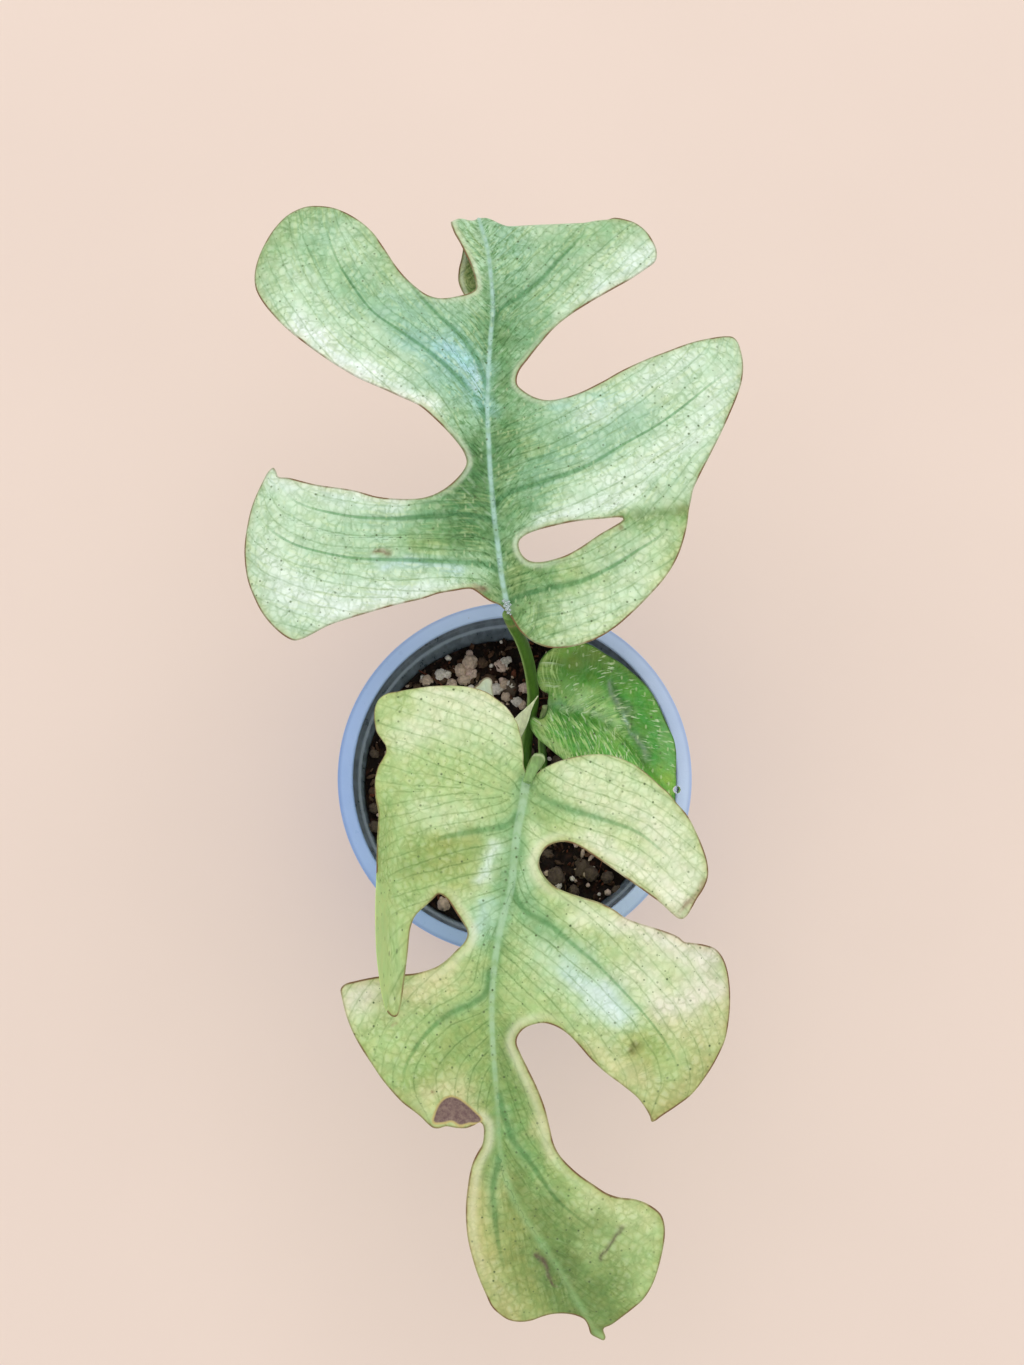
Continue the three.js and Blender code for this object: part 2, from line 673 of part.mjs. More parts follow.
function lowerRib(v) {
  const down = -v;
  const inward = -9 * Math.sin((Math.min(Math.max(down, 0), 75) / 75) * (Math.PI / 2));
  const outward = Math.max(down - 75, 0);
  return inward + 0.0045 * outward * outward + 0.02 * outward;
}

function lowerHeight(u, v) {
  const side = ribDistance(u - lowerRib(v), RIB_SOFTNESS);
  const droop = EDGE_DROOP * Math.max(side - 40, 0) ** 2;
  const dip = 1.5 * bump(Math.hypot(u + 36, v + 58), 9);
  return bowed(-v, 0.03, 0.0016) + bowed(side, 0.14, 0.0024) - droop - dip;
}

function lowerSurface(u, v) {
  const spot = new THREE.Vector3(u, v, lowerHeight(u, v));
  if (u < -28 && v > CURL_LIMIT) {
    const past = Math.max(CURL_START - u, 0);
    const rise = Math.max(smoothStep((6 - v) / 20), 0.001);
    const bend = rise / CURL_RADIUS;
    const angle = bend * Math.min(past, CURL_RADIUS * CURL_TURN);
    const rest = Math.max(past - CURL_RADIUS * CURL_TURN, 0);
    const tip = smoothStep((CURL_FRONT - v) / CURL_TIP_LENGTH) * smoothStep((-28 - u) / 3);
    const start = Math.max(u, CURL_START);
    spot.x = start - Math.sin(angle) / bend - rest * Math.cos(angle);
    spot.y = v - CURL_TIP_REACH * tip;
    spot.z = lowerHeight(start, v) + (1 - Math.cos(angle)) / bend + rest * Math.sin(angle);
    spot.z += CURL_TIP_LIFT * tip;
  }
  return spot.add(LOWER_BASE);
}

// ---- Small leaf ----
const SMALL_OUTLINE = [
  [0.4, 3.3], [-0.9, 3.9], [-1.9, 4.9], [-2.5, 6.5], [-2.8, 8.5], [-2.6, 10.5], [-1.8, 13],
  [-0.2, 15.2], [1.8, 16.5], [4, 17.5], [7, 18.2], [10, 18.3], [13, 17.5], [17, 15],
  [21, 12.6], [24.3, 9.9], [27.1, 7.4], [29.5, 4.9], [31.3, 2], [32.9, -1.2], [34.3, -4.4],
  [35.6, -7.2], [36.8, -10], [37.4, -13], [37.5, -16], [37.4, -20], [37.5, -22.5],
  [37.2, -25], [37.3, -27.6], [37.8, -30], [36.6, -29.8], [33, -29.4], [26, -28],
  [18, -25], [11, -20.8], [4.6, -16], [2, -14], [0, -12.2], [-2, -10.6], [-3.6, -8.8],
  [-4.6, -7], [-4.9, -5.2], [-4.5, -3.9], [-3.6, -3.5], [-2.2, -4], [-1, -3.6], [0, -1.5],
  [0.3, 1],
];
const SMALL_TURN = THREE.MathUtils.degToRad(38);

function smallSurface(u, v) {
  const along = u * Math.cos(SMALL_TURN) - v * Math.sin(SMALL_TURN);
  const across = u * Math.sin(SMALL_TURN) + v * Math.cos(SMALL_TURN);
  const side = ribDistance(across, RIB_SOFTNESS - 1);
  const height = bowed(along, 0.02, 0.002) + bowed(side, 0.18, 0.0055);
  return new THREE.Vector3(u, v, height).add(SMALL_BASE);
}

// ---- Young leaf ----
const YOUNG_OUTLINE = [
  [-0.4, 0.2], [-2.2, 1.6], [-4.4, 3.6], [-6, 5.8], [-6.6, 7.6], [-5.2, 8.9], [-4, 10.3],
  [-2.6, 10.9], [-1.4, 10.2], [-1.2, 8], [-0.7, 5.2], [-0.1, 2.4],
];

function youngSurface(u, v) {
  const side = ribDistance(u + 0.32 * v, 1);
  const height = bowed(v, 0.35, 0.012) + 0.25 * side;
  return new THREE.Vector3(u, v, height).add(YOUNG_BASE);
}

function youngGeometry() {
  const flat = flatBlade(YOUNG_OUTLINE, [], 1.4, 2, () => 1.8);
  const blade = solidOf(bladeGeometry(flat, youngSurface, BLADE_THICKNESS));
  const stalk = solidOf(taperedTube(YOUNG_STALK_PATH, (t) => 0.9 - 0.2 * t, 12, 7));
  return geometryOf(blade.add(stalk));
}

// ---- Assembly ----
const pottedPlant = new THREE.Group();
const plant = new THREE.Group();
plant.position.copy(PLANT_PLACE);
pottedPlant.add(plant);

function addPiece(owner, name, geometry, colour, roughness) {
  const material = new THREE.MeshStandardMaterial({ color: colour, roughness, metalness: 0 });
  const mesh = new THREE.Mesh(geometry, material);
  mesh.name = name;
  owner.add(mesh);
}

function petiole(path, radius, sheath, joint, steps, sides) {
  return taperedTube(path, petioleRadius(radius, sheath, joint), steps, sides);
}

const foldRows = (v) => (v > 105 && v < 121 ? FOLD_ROW_STEP : 0.87 * BLADE_SPACING);
const plainRows = () => 0.9 * BLADE_FINE_SPACING;
const holes = [UPPER_HOLE];
const upperFlat = flatBlade(UPPER_OUTLINE, holes, BLADE_EDGE_STEP, BLADE_SPACING, foldRows);
const lowerFlat = flatBlade(LOWER_OUTLINE, [], BLADE_EDGE_STEP, BLADE_FINE_SPACING, plainRows);
const smallFlat = flatBlade(SMALL_OUTLINE, [], BLADE_EDGE_STEP, BLADE_FINE_SPACING, plainRows);
const spearRadius = (t) => 1.1 + 1.1 * bump(t - 0.6, 0.22) - 1 * smoothStep((t - 0.5) / 0.5);

addPiece(pottedPlant, "pot", potGeometry(), COLOURS.pot, 0.35);
addPiece(pottedPlant, "soil", soilGeometry(), COLOURS.soil, 0.95);
addPiece(plant, "vine_stem", stemGeometry(), COLOURS.stem, 0.55);

const upperPetiole = petiole(UPPER_PETIOLE_PATH, PETIOLE_RADIUS, 0.1, 0, 26, 9);
const lowerPetiole = petiole(LOWER_PETIOLE_PATH, PETIOLE_RADIUS - 0.1, 0.3, 0.4, 22, 9);
const smallPetiole = petiole(SMALL_PETIOLE_PATH, SMALL_PETIOLE_RADIUS, 0.1, 0, 18, 8);
addPiece(plant, "petiole_upper", upperPetiole, COLOURS.petiole, 0.5);
addPiece(plant, "petiole_lower", lowerPetiole, COLOURS.petiole, 0.5);
addPiece(plant, "petiole_small", smallPetiole, COLOURS.petiole, 0.5);

const upperBlade = bladeGeometry(upperFlat, upperSurface, BLADE_THICKNESS);
const lowerBlade = bladeGeometry(lowerFlat, lowerSurface, BLADE_THICKNESS);
const smallBlade = bladeGeometry(smallFlat, smallSurface, BLADE_THICKNESS);
addPiece(plant, "leaf_upper", upperBlade, COLOURS.blade, 0.4);
addPiece(plant, "leaf_lower", lowerBlade, COLOURS.blade, 0.4);
addPiece(plant, "leaf_small", smallBlade, COLOURS.smallBlade, 0.35);

addPiece(plant, "spear", taperedTube(SPEAR_PATH, spearRadius, 22, 8), COLOURS.spear, 0.5);
addPiece(plant, "young_leaf", youngGeometry(), COLOURS.young, 0.5);

export default pottedPlant;
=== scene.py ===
"""Fine leaves, stalks, pot and potting mix of a potted mini monstera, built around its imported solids.

The scene is in metres. Lists of points and shape functions are in millimetres and turned to metres
where a mesh is made.
"""

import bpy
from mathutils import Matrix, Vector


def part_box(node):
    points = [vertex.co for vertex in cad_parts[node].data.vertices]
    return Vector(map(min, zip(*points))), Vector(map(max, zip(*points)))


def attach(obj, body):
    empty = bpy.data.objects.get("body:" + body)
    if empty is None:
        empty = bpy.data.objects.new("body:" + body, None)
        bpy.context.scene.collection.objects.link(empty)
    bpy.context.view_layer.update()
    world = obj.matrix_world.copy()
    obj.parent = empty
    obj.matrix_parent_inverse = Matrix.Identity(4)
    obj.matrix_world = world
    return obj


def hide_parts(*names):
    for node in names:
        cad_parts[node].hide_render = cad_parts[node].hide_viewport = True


bl_info = {
    "name": "Potted mini monstera",
    "version": (1, 0, 0),
    "blender": (4, 5, 0),
    "location": "3D View > Sidebar > Monstera",
    "description": "Builds the leaves, stalks, nursery pot and potting mix of a small split-leaf plant",
    "category": "Add Mesh",
}

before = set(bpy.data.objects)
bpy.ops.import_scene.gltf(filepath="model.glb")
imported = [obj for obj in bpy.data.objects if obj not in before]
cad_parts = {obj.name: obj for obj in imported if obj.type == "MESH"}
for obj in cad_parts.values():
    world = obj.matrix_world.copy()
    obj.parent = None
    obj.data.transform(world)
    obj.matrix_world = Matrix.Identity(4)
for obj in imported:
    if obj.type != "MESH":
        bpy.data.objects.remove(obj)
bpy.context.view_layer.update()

import math
from dataclasses import dataclass

import bpy
import numpy as np
from bpy.props import FloatProperty, FloatVectorProperty, IntProperty, PointerProperty
from mathutils import Euler, Vector, kdtree, noise
from mathutils.geometry import delaunay_2d_cdt

MM = 0.001
FAR = 1e6  # Farther, in millimetres, than anything here.
BODY = "root"
_, POT_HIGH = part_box("pot")

# The plant's own frame stands a little off the pot's axis.
PLANT_PLACE = np.array([0.3, -1.2, 0.0])

# Where each blade joins its petiole, in the plant's frame.
UPPER_BASE = np.array([-2.0, 37.0, 150.0])
LOWER_BASE = np.array([3.0, -3.0, 139.0])
SMALL_BASE = np.array([9.0, 20.5, 101.0])
YOUNG_BASE = np.array([-5.5, 16.0, 108.0])


# ---- Blade outlines: [right, up] from the blade's joint, flat, in millimetres ----
UPPER_OUTLINE = [
    [0.2, -0.6], [-1, 0.6], [-2.4, 1.9], [-4.2, 2.5], [-6, 3.5], [-8.4, 5.2], [-9.7, 5.8],
    [-14, 5.2], [-18, 4.4], [-22, 3], [-30, 1], [-38, -1.4], [-46, -4], [-50, -6], [-53, -7.4],
    [-55, -7.8], [-57, -7], [-60, -4.6], [-63.5, -0.5], [-66, 4], [-68, 9], [-69, 16],
    [-68.5, 22], [-67.2, 28], [-65, 33], [-62.7, 37], [-61.4, 37.9], [-60.7, 37], [-60, 35.4],
    [-57, 34.9], [-50, 33], [-40, 31.4], [-34, 29.8], [-28, 29.3], [-22, 29.7], [-17, 32],
    [-13, 35.8], [-11.3, 38.5], [-11, 40], [-12, 43], [-15, 47], [-18.2, 50.4], [-23.4, 55],
    [-29, 57.6], [-34, 59.9], [-40, 62.8], [-45, 66], [-50, 69.5], [-55, 73.4], [-60, 78],
    [-64, 82.6], [-67, 87], [-68.8, 91], [-69.3, 95], [-68.5, 100], [-66.5, 105],
    [-63.5, 110], [-60, 113.5], [-56.5, 115.3], [-52.5, 115.7], [-48, 114.8], [-44, 112.9],
    [-40.3, 110.2], [-37, 106.7], [-34, 102], [-31, 97], [-28, 93], [-25, 90], [-22, 87.8],
    [-19, 87], [-16, 87.3], [-13.3, 88.1], [-10.8, 89], [-9, 90.4], [-8.9, 92], [-9.4, 94.5],
    [-10.4, 98], [-11.7, 101], [-13.5, 105], [-15.2, 108.4], [-16, 112], [-15.8, 116],
    [-14.2, 120], [-12.9, 123.6], [-13.2, 127.5], [-13.9, 131], [-13.9, 135],
    [-12.5, 138.8], [-9.5, 141.4], [-5, 142], [0, 139], [7, 133], [13, 127], [18, 121.6],
    [21.8, 116.4],
    [24.6, 113], [27.6, 112], [31.5, 111.2], [34.8, 109.8], [37.6, 107.2], [39.4, 104],
    [40.3, 100.8], [39.8, 97.8],
    [37, 95.3], [33, 92.3], [28, 89], [22, 85.2], [16, 81.2], [12, 77.6], [8, 72.8],
    [5, 68.8], [3, 66], [2.2, 63.5], [2.4, 61.5], [4, 59.7], [7, 57.7], [10.5, 56.8],
    [15, 57.4], [20, 59.2], [25, 61.8], [30, 64.8], [36, 67.8], [42, 70.4], [48, 72.8],
    [54, 74.6], [58, 75.8], [60.2, 76], [61.5, 75], [62.5, 72], [62.9, 68.5], [62.4, 64],
    [60.8, 59], [58.5, 53.5], [56, 48], [52.3, 40.5], [49.5, 35], [47.9, 31.5], [47.2, 28.5],
    [46.2, 22], [45, 17.5], [43.2, 13], [40, 8], [36, 3.5], [32, -0.5], [27.5, -4.4],
    [23, -7.2], [18, -9], [14, -9.6], [10, -9.3], [6, -7.6], [3, -5], [1.3, -2.4],
]
UPPER_HOLE = [
    [2.6, 18], [2.9, 16.2], [3.8, 14.6], [5.5, 13.3], [8, 12.9], [11, 13.3], [15, 14.6],
    [19, 16.8], [24, 20.2], [27.5, 22.3], [29.8, 23.9], [24, 23.7], [17, 23.2], [11, 22.2],
    [6, 20.9], [4, 19.9], [3, 19],
]
LOWER_OUTLINE = [
    [0.2, -1.3], [-0.6, 0], [-1.1, 1.7], [-1.1, 4], [-1.4, 7], [-2, 10], [-2.6, 12.5],
    [-3.6, 14.2], [-5.5, 16.8], [-8, 19], [-11, 21], [-15, 22.2], [-19, 22.6], [-22, 22.6],
    [-26, 22.3], [-30, 21.7], [-34, 21], [-37, 20.4], [-39, 19], [-40, 17], [-40.3, 14.5],
    [-40, 12], [-39.5, 10], [-38, 7.8], [-37, 6.2], [-37, 4.6], [-37.8, 2.8], [-38.8, 1],
    [-39.6, -1.5], [-40.6, -5], [-42.6, -10], [-44.3, -15], [-45, -21], [-45.2, -28],
    [-45.6, -34], [-45.5, -38], [-44.2, -41.8], [-41.4, -45], [-37.6, -48.4],
    [-34.6, -50.8], [-33.2, -50.8], [-32.2, -48.6], [-31.4, -45.4], [-30.6, -42],
    [-30.1, -39.4], [-28.6, -37], [-26, -34.6],
    [-24.2, -33], [-23, -31.9], [-21.5, -32.5], [-20, -34.2], [-18.3, -36.8], [-16.5, -39.5],
    [-15.6, -41.2], [-15.6, -42.5], [-16.5, -44.3], [-18.5, -46.2], [-20.5, -48.2],
    [-23, -50], [-26, -51.2], [-29, -51.9], [-34, -52.3], [-39, -52.8], [-44, -53.8],
    [-46.8, -54.6], [-47.9, -55.8], [-47.6, -58], [-46.3, -63], [-44.4, -67.5],
    [-42.2, -71.3], [-39.6, -75.2], [-37.5, -78.3], [-35, -81.4], [-32, -84.6],
    [-29.6, -86.4], [-27.6, -88], [-25.8, -89.8], [-24.4, -90.9], [-23, -91.1], [-21, -90.6],
    [-18, -91.1], [-15.8, -91.1], [-13.8, -90.4], [-12.3, -89.7], [-11.5, -90.6],
    [-11.4, -93.5], [-11.8, -95.5], [-13, -97.5], [-14.2, -100], [-15, -103], [-15.6, -107],
    [-16, -111], [-16, -115], [-15.5, -120], [-14.2, -125.5], [-12.8, -130], [-11, -134.5],
    [-9.4, -138], [-7.5, -140], [-5, -141.7], [-2, -142.3], [1, -142], [4, -141],
    [6.5, -140.4], [10, -140.4], [13, -141], [15, -142], [16, -143.8], [16.7, -146],
    [18.5, -147.1], [20.2, -147.7], [20.6, -146.9], [20, -145], [20.1, -144.2], [22, -143.2],
    [25, -140.8], [28, -138.2], [30, -136.2], [32, -133], [33.5, -129], [34.6, -124.5],
    [35.4, -119.5], [35.3, -116], [34.5, -113.5], [33, -111.9], [30, -110.1], [27, -109.2],
    [23.5, -108.8], [20.5, -107.8], [17, -105.6], [13.5, -103.2], [10.5, -100.6],
    [8, -97.8], [6.6, -95], [5.5, -90.5], [4.2, -85.5], [2.2, -80.5], [0, -76], [-2, -72],
    [-2.9, -69.5], [-2.6, -67.8], [-1.2, -66], [1, -64.9], [4, -64.4], [7, -65.2],
    [10, -67], [13, -70], [16, -73.4], [20, -77], [24.5, -80.3], [28, -83.2], [30, -85.8],
    [31.2, -88], [31.6, -89.3], [32.5, -89.1], [34, -88], [38, -85.4], [42, -82.6],
    [45, -79.4], [48, -75.5], [50, -72.2], [51.5, -69], [52.4, -65], [52.9, -60],
    [52.7, -55], [51.8, -50.5], [50.3, -47.5], [48.3, -45.6], [45.5, -44.7], [42, -44.2],
    [40, -43.9], [38.5, -42.7], [36, -41.6], [32, -40.3], [28, -39.1], [25, -37.9],
    [22, -35.8], [18, -33.9], [14, -32.7], [10, -31.4], [7, -30], [4.6, -27.8],
    [3.2, -25.4], [2.9, -23.5], [3.4, -21.7], [5, -19.8], [7.5, -18.7], [10, -18.6],
    [13, -19.6], [17, -22.2], [22, -25.6], [26, -28.4], [30.5, -31.6], [34, -34.2],
    [37, -36.9], [38.4, -38], [39.5, -38.2], [40.6, -37.6], [42, -35.6], [43.4, -33.2],
    [45.2, -30.6], [46.3, -28.2], [46.6, -26], [46.2, -23], [45, -19.5], [43.2, -15.5],
    [41, -11.4], [38.5, -8.5], [36.5, -6], [34, -3.8], [31, -1], [27, 1.8], [22, 3.8],
    [18, 4.2], [13, 3.7], [8, 2.4], [4.5, 0.8], [2.2, -0.7],
]
SMALL_OUTLINE = [
    [0.4, 3.3], [-0.9, 3.9], [-1.9, 4.9], [-2.5, 6.5], [-2.8, 8.5], [-2.6, 10.5], [-1.8, 13],
    [-0.2, 15.2], [1.8, 16.5], [4, 17.5], [7, 18.2], [10, 18.3], [13, 17.5], [17, 15],
    [21, 12.6], [24.3, 9.9], [27.1, 7.4], [29.5, 4.9], [31.3, 2], [32.9, -1.2], [34.3, -4.4],
    [35.6, -7.2], [36.8, -10], [37.4, -13], [37.5, -16], [37.4, -20], [37.5, -22.5],
    [37.2, -25], [37.3, -27.6], [37.8, -30], [36.6, -29.8], [33, -29.4], [26, -28],
    [18, -25], [11, -20.8], [4.6, -16], [2, -14], [0, -12.2], [-2, -10.6], [-3.6, -8.8],
    [-4.6, -7], [-4.9, -5.2], [-4.5, -3.9], [-3.6, -3.5], [-2.2, -4], [-1, -3.6], [0, -1.5],
    [0.3, 1],
]
YOUNG_OUTLINE = [
    [-0.4, 0.2], [-2.2, 1.6], [-4.4, 3.6], [-6, 5.8], [-6.6, 7.6], [-5.2, 8.9], [-4, 10.3],
    [-2.6, 10.9], [-1.4, 10.2], [-1.2, 8], [-0.7, 5.2], [-0.1, 2.4],
]

# ---- Veins, in the same flat frame ----
UPPER_RIB = [
    [0, 0], [-1.6, 8], [-2.6, 16], [-3.6, 24], [-4.6, 34], [-5.2, 44], [-5.6, 54], [-5.4, 64],
    [-5, 74], [-4.3, 84], [-4.8, 94], [-6, 104], [-8, 112], [-9, 122], [-9, 134],
]
UPPER_LATERALS = [
    [[-5.2, 50], [-8, 57], [-12, 62], [-20, 70], [-28, 76], [-36, 82], [-42, 90], [-46.5, 98],
     [-50, 108], [-51, 115]],
    [[-2, 10.5], [-6, 12.4], [-12, 12.8], [-25, 13], [-38, 13.3], [-48, 15], [-56, 17.5],
     [-62, 21.5], [-65, 26], [-66, 30]],
    [[-0.6, 2], [3, 4], [8, 5.5], [18, 7.5], [26, 11], [34, 16], [40, 20], [44, 25]],
    [[-4, 28], [0, 31.5], [8, 34], [20, 38], [30, 44], [40, 50], [52, 60], [60, 68], [61, 73]],
    [[-4.4, 80], [-2, 84.5], [3, 88], [8, 92], [14, 99], [20, 106], [24, 110]],
    [[-5.4, 60], [-8, 68], [-13, 76], [-20, 83], [-26, 90], [-33, 99]],
    [[-3.6, 24], [-8, 25.5], [-18, 25], [-30, 24], [-44, 25], [-56, 29], [-60, 34]],
]
UPPER_CREASE = [
    [6, 17.5], [14, 20], [22, 22.6], [30, 24], [36, 25.6], [44, 26.2], [47.5, 28.5], [51, 31],
]
LOWER_RIB = [
    [-0.1, -1], [-1.2, -8], [-2.6, -15], [-3.5, -22], [-4.3, -30], [-6.5, -38], [-8.1, -46],
    [-9, -54], [-9.3, -62], [-9, -70], [-8.4, -78], [-7.8, -86], [-7.4, -94], [-6.5, -101],
    [-4, -108.5], [-0.5, -115], [3.5, -121], [7.5, -127], [11, -133], [14, -138.5], [17, -144],
    [19.8, -147],
]
LOWER_LATERALS = [
    [[-0.8, -3], [-3, 0], [-6, 2], [-14, 6.5], [-22, 9.5], [-30, 12], [-36, 14]],
    [[-2.4, -11], [-5, -14], [-12, -15.5], [-20, -17], [-28, -19.5]],
    [[-9.6, -51], [-11, -57], [-14, -59.5], [-20, -62], [-25, -66], [-29, -71], [-31.5, -76],
     [-31.5, -81], [-30.5, -83.5]],
    [[-0.6, -2], [0.6, -4], [6, -8], [12, -10.5], [20, -13], [28, -16], [34, -20.5], [40, -26]],
    [[-4.6, -27], [-3, -33], [0, -36.5], [6, -40], [12, -45], [18, -50], [24, -56], [30, -62.5],
     [35, -69], [38, -75], [38.5, -80], [37, -84]],
    [[-8, -82], [-6, -88], [-4, -94], [0, -99], [4, -105], [8, -110], [14, -115], [20, -119]],
    [[-7, -98], [-9, -106], [-8.5, -114], [-7.5, -122], [-5.5, -130]],
]
SMALL_RIB = [
    [0, 0], [3, -1.2], [8, -2.2], [14, -4], [19, -6.5], [23, -10], [27, -14.5], [31, -19.5],
    [35, -25],
]
SMALL_LATERALS = [
    [[2.4, -1], [5, -6], [7.5, -13], [9, -19]],
    [[6.5, -2], [11, -8], [15, -16], [18, -24]],
    [[11, -3], [17, -9], [22, -17], [26, -27]],
    [[16, -5], [23, -12], [28.5, -20], [32, -28.5]],
    [[1.6, -0.6], [1.5, 5], [0, 10], [1, 15]],
    [[4.5, -1.4], [8, 4], [12, 9.5], [13, 16]],
    [[9, -2.5], [15, 1.5], [21, 5], [27, 6.5]],
    [[14.5, -4.4], [21, -2], [28, -0.5], [33, -2]],
    [[20, -7.6], [26, -7], [31, -8], [36, -11]],
]
SMALL_CREASE = [
    [18, 8], [19, 6], [21, 2], [23.5, -2.5], [24.5, -8], [26.5, -13], [28.5, -18], [29.5, -22],
]
YOUNG_RIB = [[-0.4, 0.4], [-1.6, 3.4], [-2.8, 6.6], [-3.4, 10]]
YOUNG_LATERALS = [
    [[-1, 1.8], [-3, 3.6], [-4.6, 5.6]], [[-2, 4.2], [-4, 6.2], [-5, 8.4]],
    [[-1.8, 4], [-1, 7], [-1.4, 9.6]],
]

# The dead brown patch at the margin of the lower blade, and the yellowed rim below it.
SCORCH = [
    [-24.2, -89.4], [-24, -88.2], [-23.2, -86], [-22, -84.2], [-20.2, -83.2], [-18.5, -83.4],
    [-16, -85], [-13.8, -87], [-12.1, -88.9], [-12.6, -89.6], [-15, -89.7], [-17.5, -90.2],
    [-19.6, -89.1], [-22, -89.6],
]


# ---- Helpers: numbers ----
def as_linear(levels):
    """Encoded sRGB levels from 0 to 1 as linear ones."""
    levels = np.clip(levels, 0, 1)
    return np.where(levels <= 0.04045, levels / 12.92, ((levels + 0.055) / 1.055) ** 2.4)


def encoded(hex_colour):
    """An sRGB hex colour as three levels from 0 to 1, still encoded."""
    return np.array([int(hex_colour[i:i + 2], 16) / 255 for i in (1, 3, 5)])


def linear(hex_colour):
    """An sRGB hex colour as linear red, green, blue and alpha."""
    return (*as_linear(encoded(hex_colour)).tolist(), 1.0)


def smooth_step(value):
    """Rises smoothly from 0 to 1 while the value does."""
    t = np.clip(value, 0, 1)
    return t * t * (3 - 2 * t)


def ramp(value, start, end):
    """Rises smoothly from 0 at start to 1 at end, which may be the lower of the two."""
    return smooth_step((value - start) / (end - start))


def bump(distance, width):
    """A round bump of height 1 at distance 0."""
    return np.exp(-((distance / width) ** 2))


def bowed(distance, slope, bend):
    """Height of a line that starts with a slope and bends down."""
    return slope * distance - bend * distance * distance


def rib_distance(offset, softness):
    """Distance from the rib that stays smooth across it."""
    return np.hypot(offset, softness) - softness


def seeded_random(seed):
    """The same draws, from 0 to 1, on every run."""
    state = seed
    while True:
        state = (state * 1664525 + 1013904223) % 4294967296
        yield state / 4294967296


def rough(points, size, seed):
    """Smooth noise from -1 to 1 at each point, its lumps about size millimetres wide."""
    scaled = np.asarray(points, float) / size
    if scaled.shape[1] == 2:
        scaled = np.column_stack([scaled, np.zeros(len(scaled))])
    return np.array([noise.noise(Vector(p) + Vector((seed, 0, 0))) for p in scaled])


# ---- Helpers: lines ----
SPAN_STEPS = 16


def smooth_line(points, step, closed=False):
    """Even steps along a smooth line through given points."""
    knots = np.array(points, float)
    if closed:
        ring = np.vstack([knots[-1:], knots, knots[:2]])
    else:
        ring = np.vstack([2 * knots[:1] - knots[1:2], knots, 2 * knots[-1:] - knots[-2:-1]])
    t = np.linspace(0, 1, SPAN_STEPS, endpoint=False)[:, None]
    spans = []
    for a, b, c, d in zip(ring[:-3], ring[1:-2], ring[2:-1], ring[3:]):
        ab, bc, cd = (max(np.linalg.norm(q - p) ** 0.5, 1e-4) for p, q in ((a, b), (b, c), (c, d)))
        leave = ((b - a) / ab - (c - a) / (ab + bc) + (c - b) / bc) * bc
        arrive = ((c - b) / bc - (d - b) / (bc + cd) + (d - c) / cd) * bc
        cubic = 2 * b - 2 * c + leave + arrive
        square = -3 * b + 3 * c - 2 * leave - arrive
        spans.append(b + leave * t + square * t**2 + cubic * t**3)
    line = np.vstack(spans + [ring[-2:-1]])
    reach = np.concatenate([[0], np.cumsum(np.linalg.norm(np.diff(line, axis=0), axis=1))])
    count = max(round(reach[-1] / step), 2)
    even = np.linspace(0, reach[-1], count + 1)
    steps = np.column_stack([np.interp(even, reach, axis) for axis in line.T])
    return steps[:-1] if closed else steps


def search_tree(points):
    """A tree that finds the nearest of some flat points."""
    tree = kdtree.KDTree(len(points))
    for i, (u, v) in enumerate(points):
        tree.insert((u, v, 0), i)
    tree.balance()
    return tree


def inside(points, loop):
    """True for the points that a closed line surrounds."""
    x, y = points.T
    held = np.zeros(len(points), bool)
    for (x1, y1), (x2, y2) in zip(loop, np.roll(loop, -1, axis=0)):
        level = (y1 > y) != (y2 > y)
        held[level] ^= x[level] < x1 + (x2 - x1) * (y[level] - y1) / (y2 - y1)
    return held


def on_blade(points, loops):
    """True for the points inside the first loop and outside the holes that follow it."""
    held = inside(points, loops[0])
    for hole in loops[1:]:
        held &= ~inside(points, hole)
    return held


def edge_distance(points, loops):
    """Distance in millimetres from each point to the nearest margin."""
    nearest = np.full(len(points), FAR)
    for loop in loops:
        tree = search_tree(loop)
        near = np.array([tree.find((u, v, 0))[1] for u, v in points])
        for shift in (-1, 0):
            a = loop[(near + shift) % len(loop)]
            b = loop[(near + shift + 1) % len(loop)]
            share = np.clip(((points - a) * (b - a)).sum(1) / ((b - a) ** 2).sum(1), 0, 1)
            nearest = np.minimum(nearest, np.hypot(*(points - a - share[:, None] * (b - a)).T))
    return nearest


def line_field(points, line):
    """Signed distance to a line, positive on its left, and the length along it to the nearest spot."""
    step = np.diff(line, axis=0)
    length = np.hypot(*step.T)
    travelled = np.concatenate([[0], np.cumsum(length)[:-1]])
    offset = points[:, None, :] - line[None, :-1]
    share = np.clip((offset * step).sum(2) / length**2, 0, 1)
    distance = np.linalg.norm(offset - share[..., None] * step, axis=2)
    nearest = distance.argmin(1)
    rows = np.arange(len(points))
    side = np.cross(step[nearest], offset[rows, nearest])
    signed = np.where(side >= 0, 1, -1) * distance[rows, nearest]
    return signed, travelled[nearest] + share[rows, nearest] * length[nearest]


# ---- Helpers: meshes ----
MERGE_DISTANCE = 1e-5
# Distances in a flat mesh, as shares of its spacing.
GUIDE_GAP = 0.45
GUIDE_TO_MARGIN = 0.5
LATTICE_ROW = 0.87
LATTICE_SHIFT = 0.1
LATTICE_TO_LINES = 0.55


def thinned(points, gap):
    """Points with none sharing a square cell of that size."""
    _, first = np.unique(np.round(points / gap), axis=0, return_index=True)
    return points[np.sort(first)]


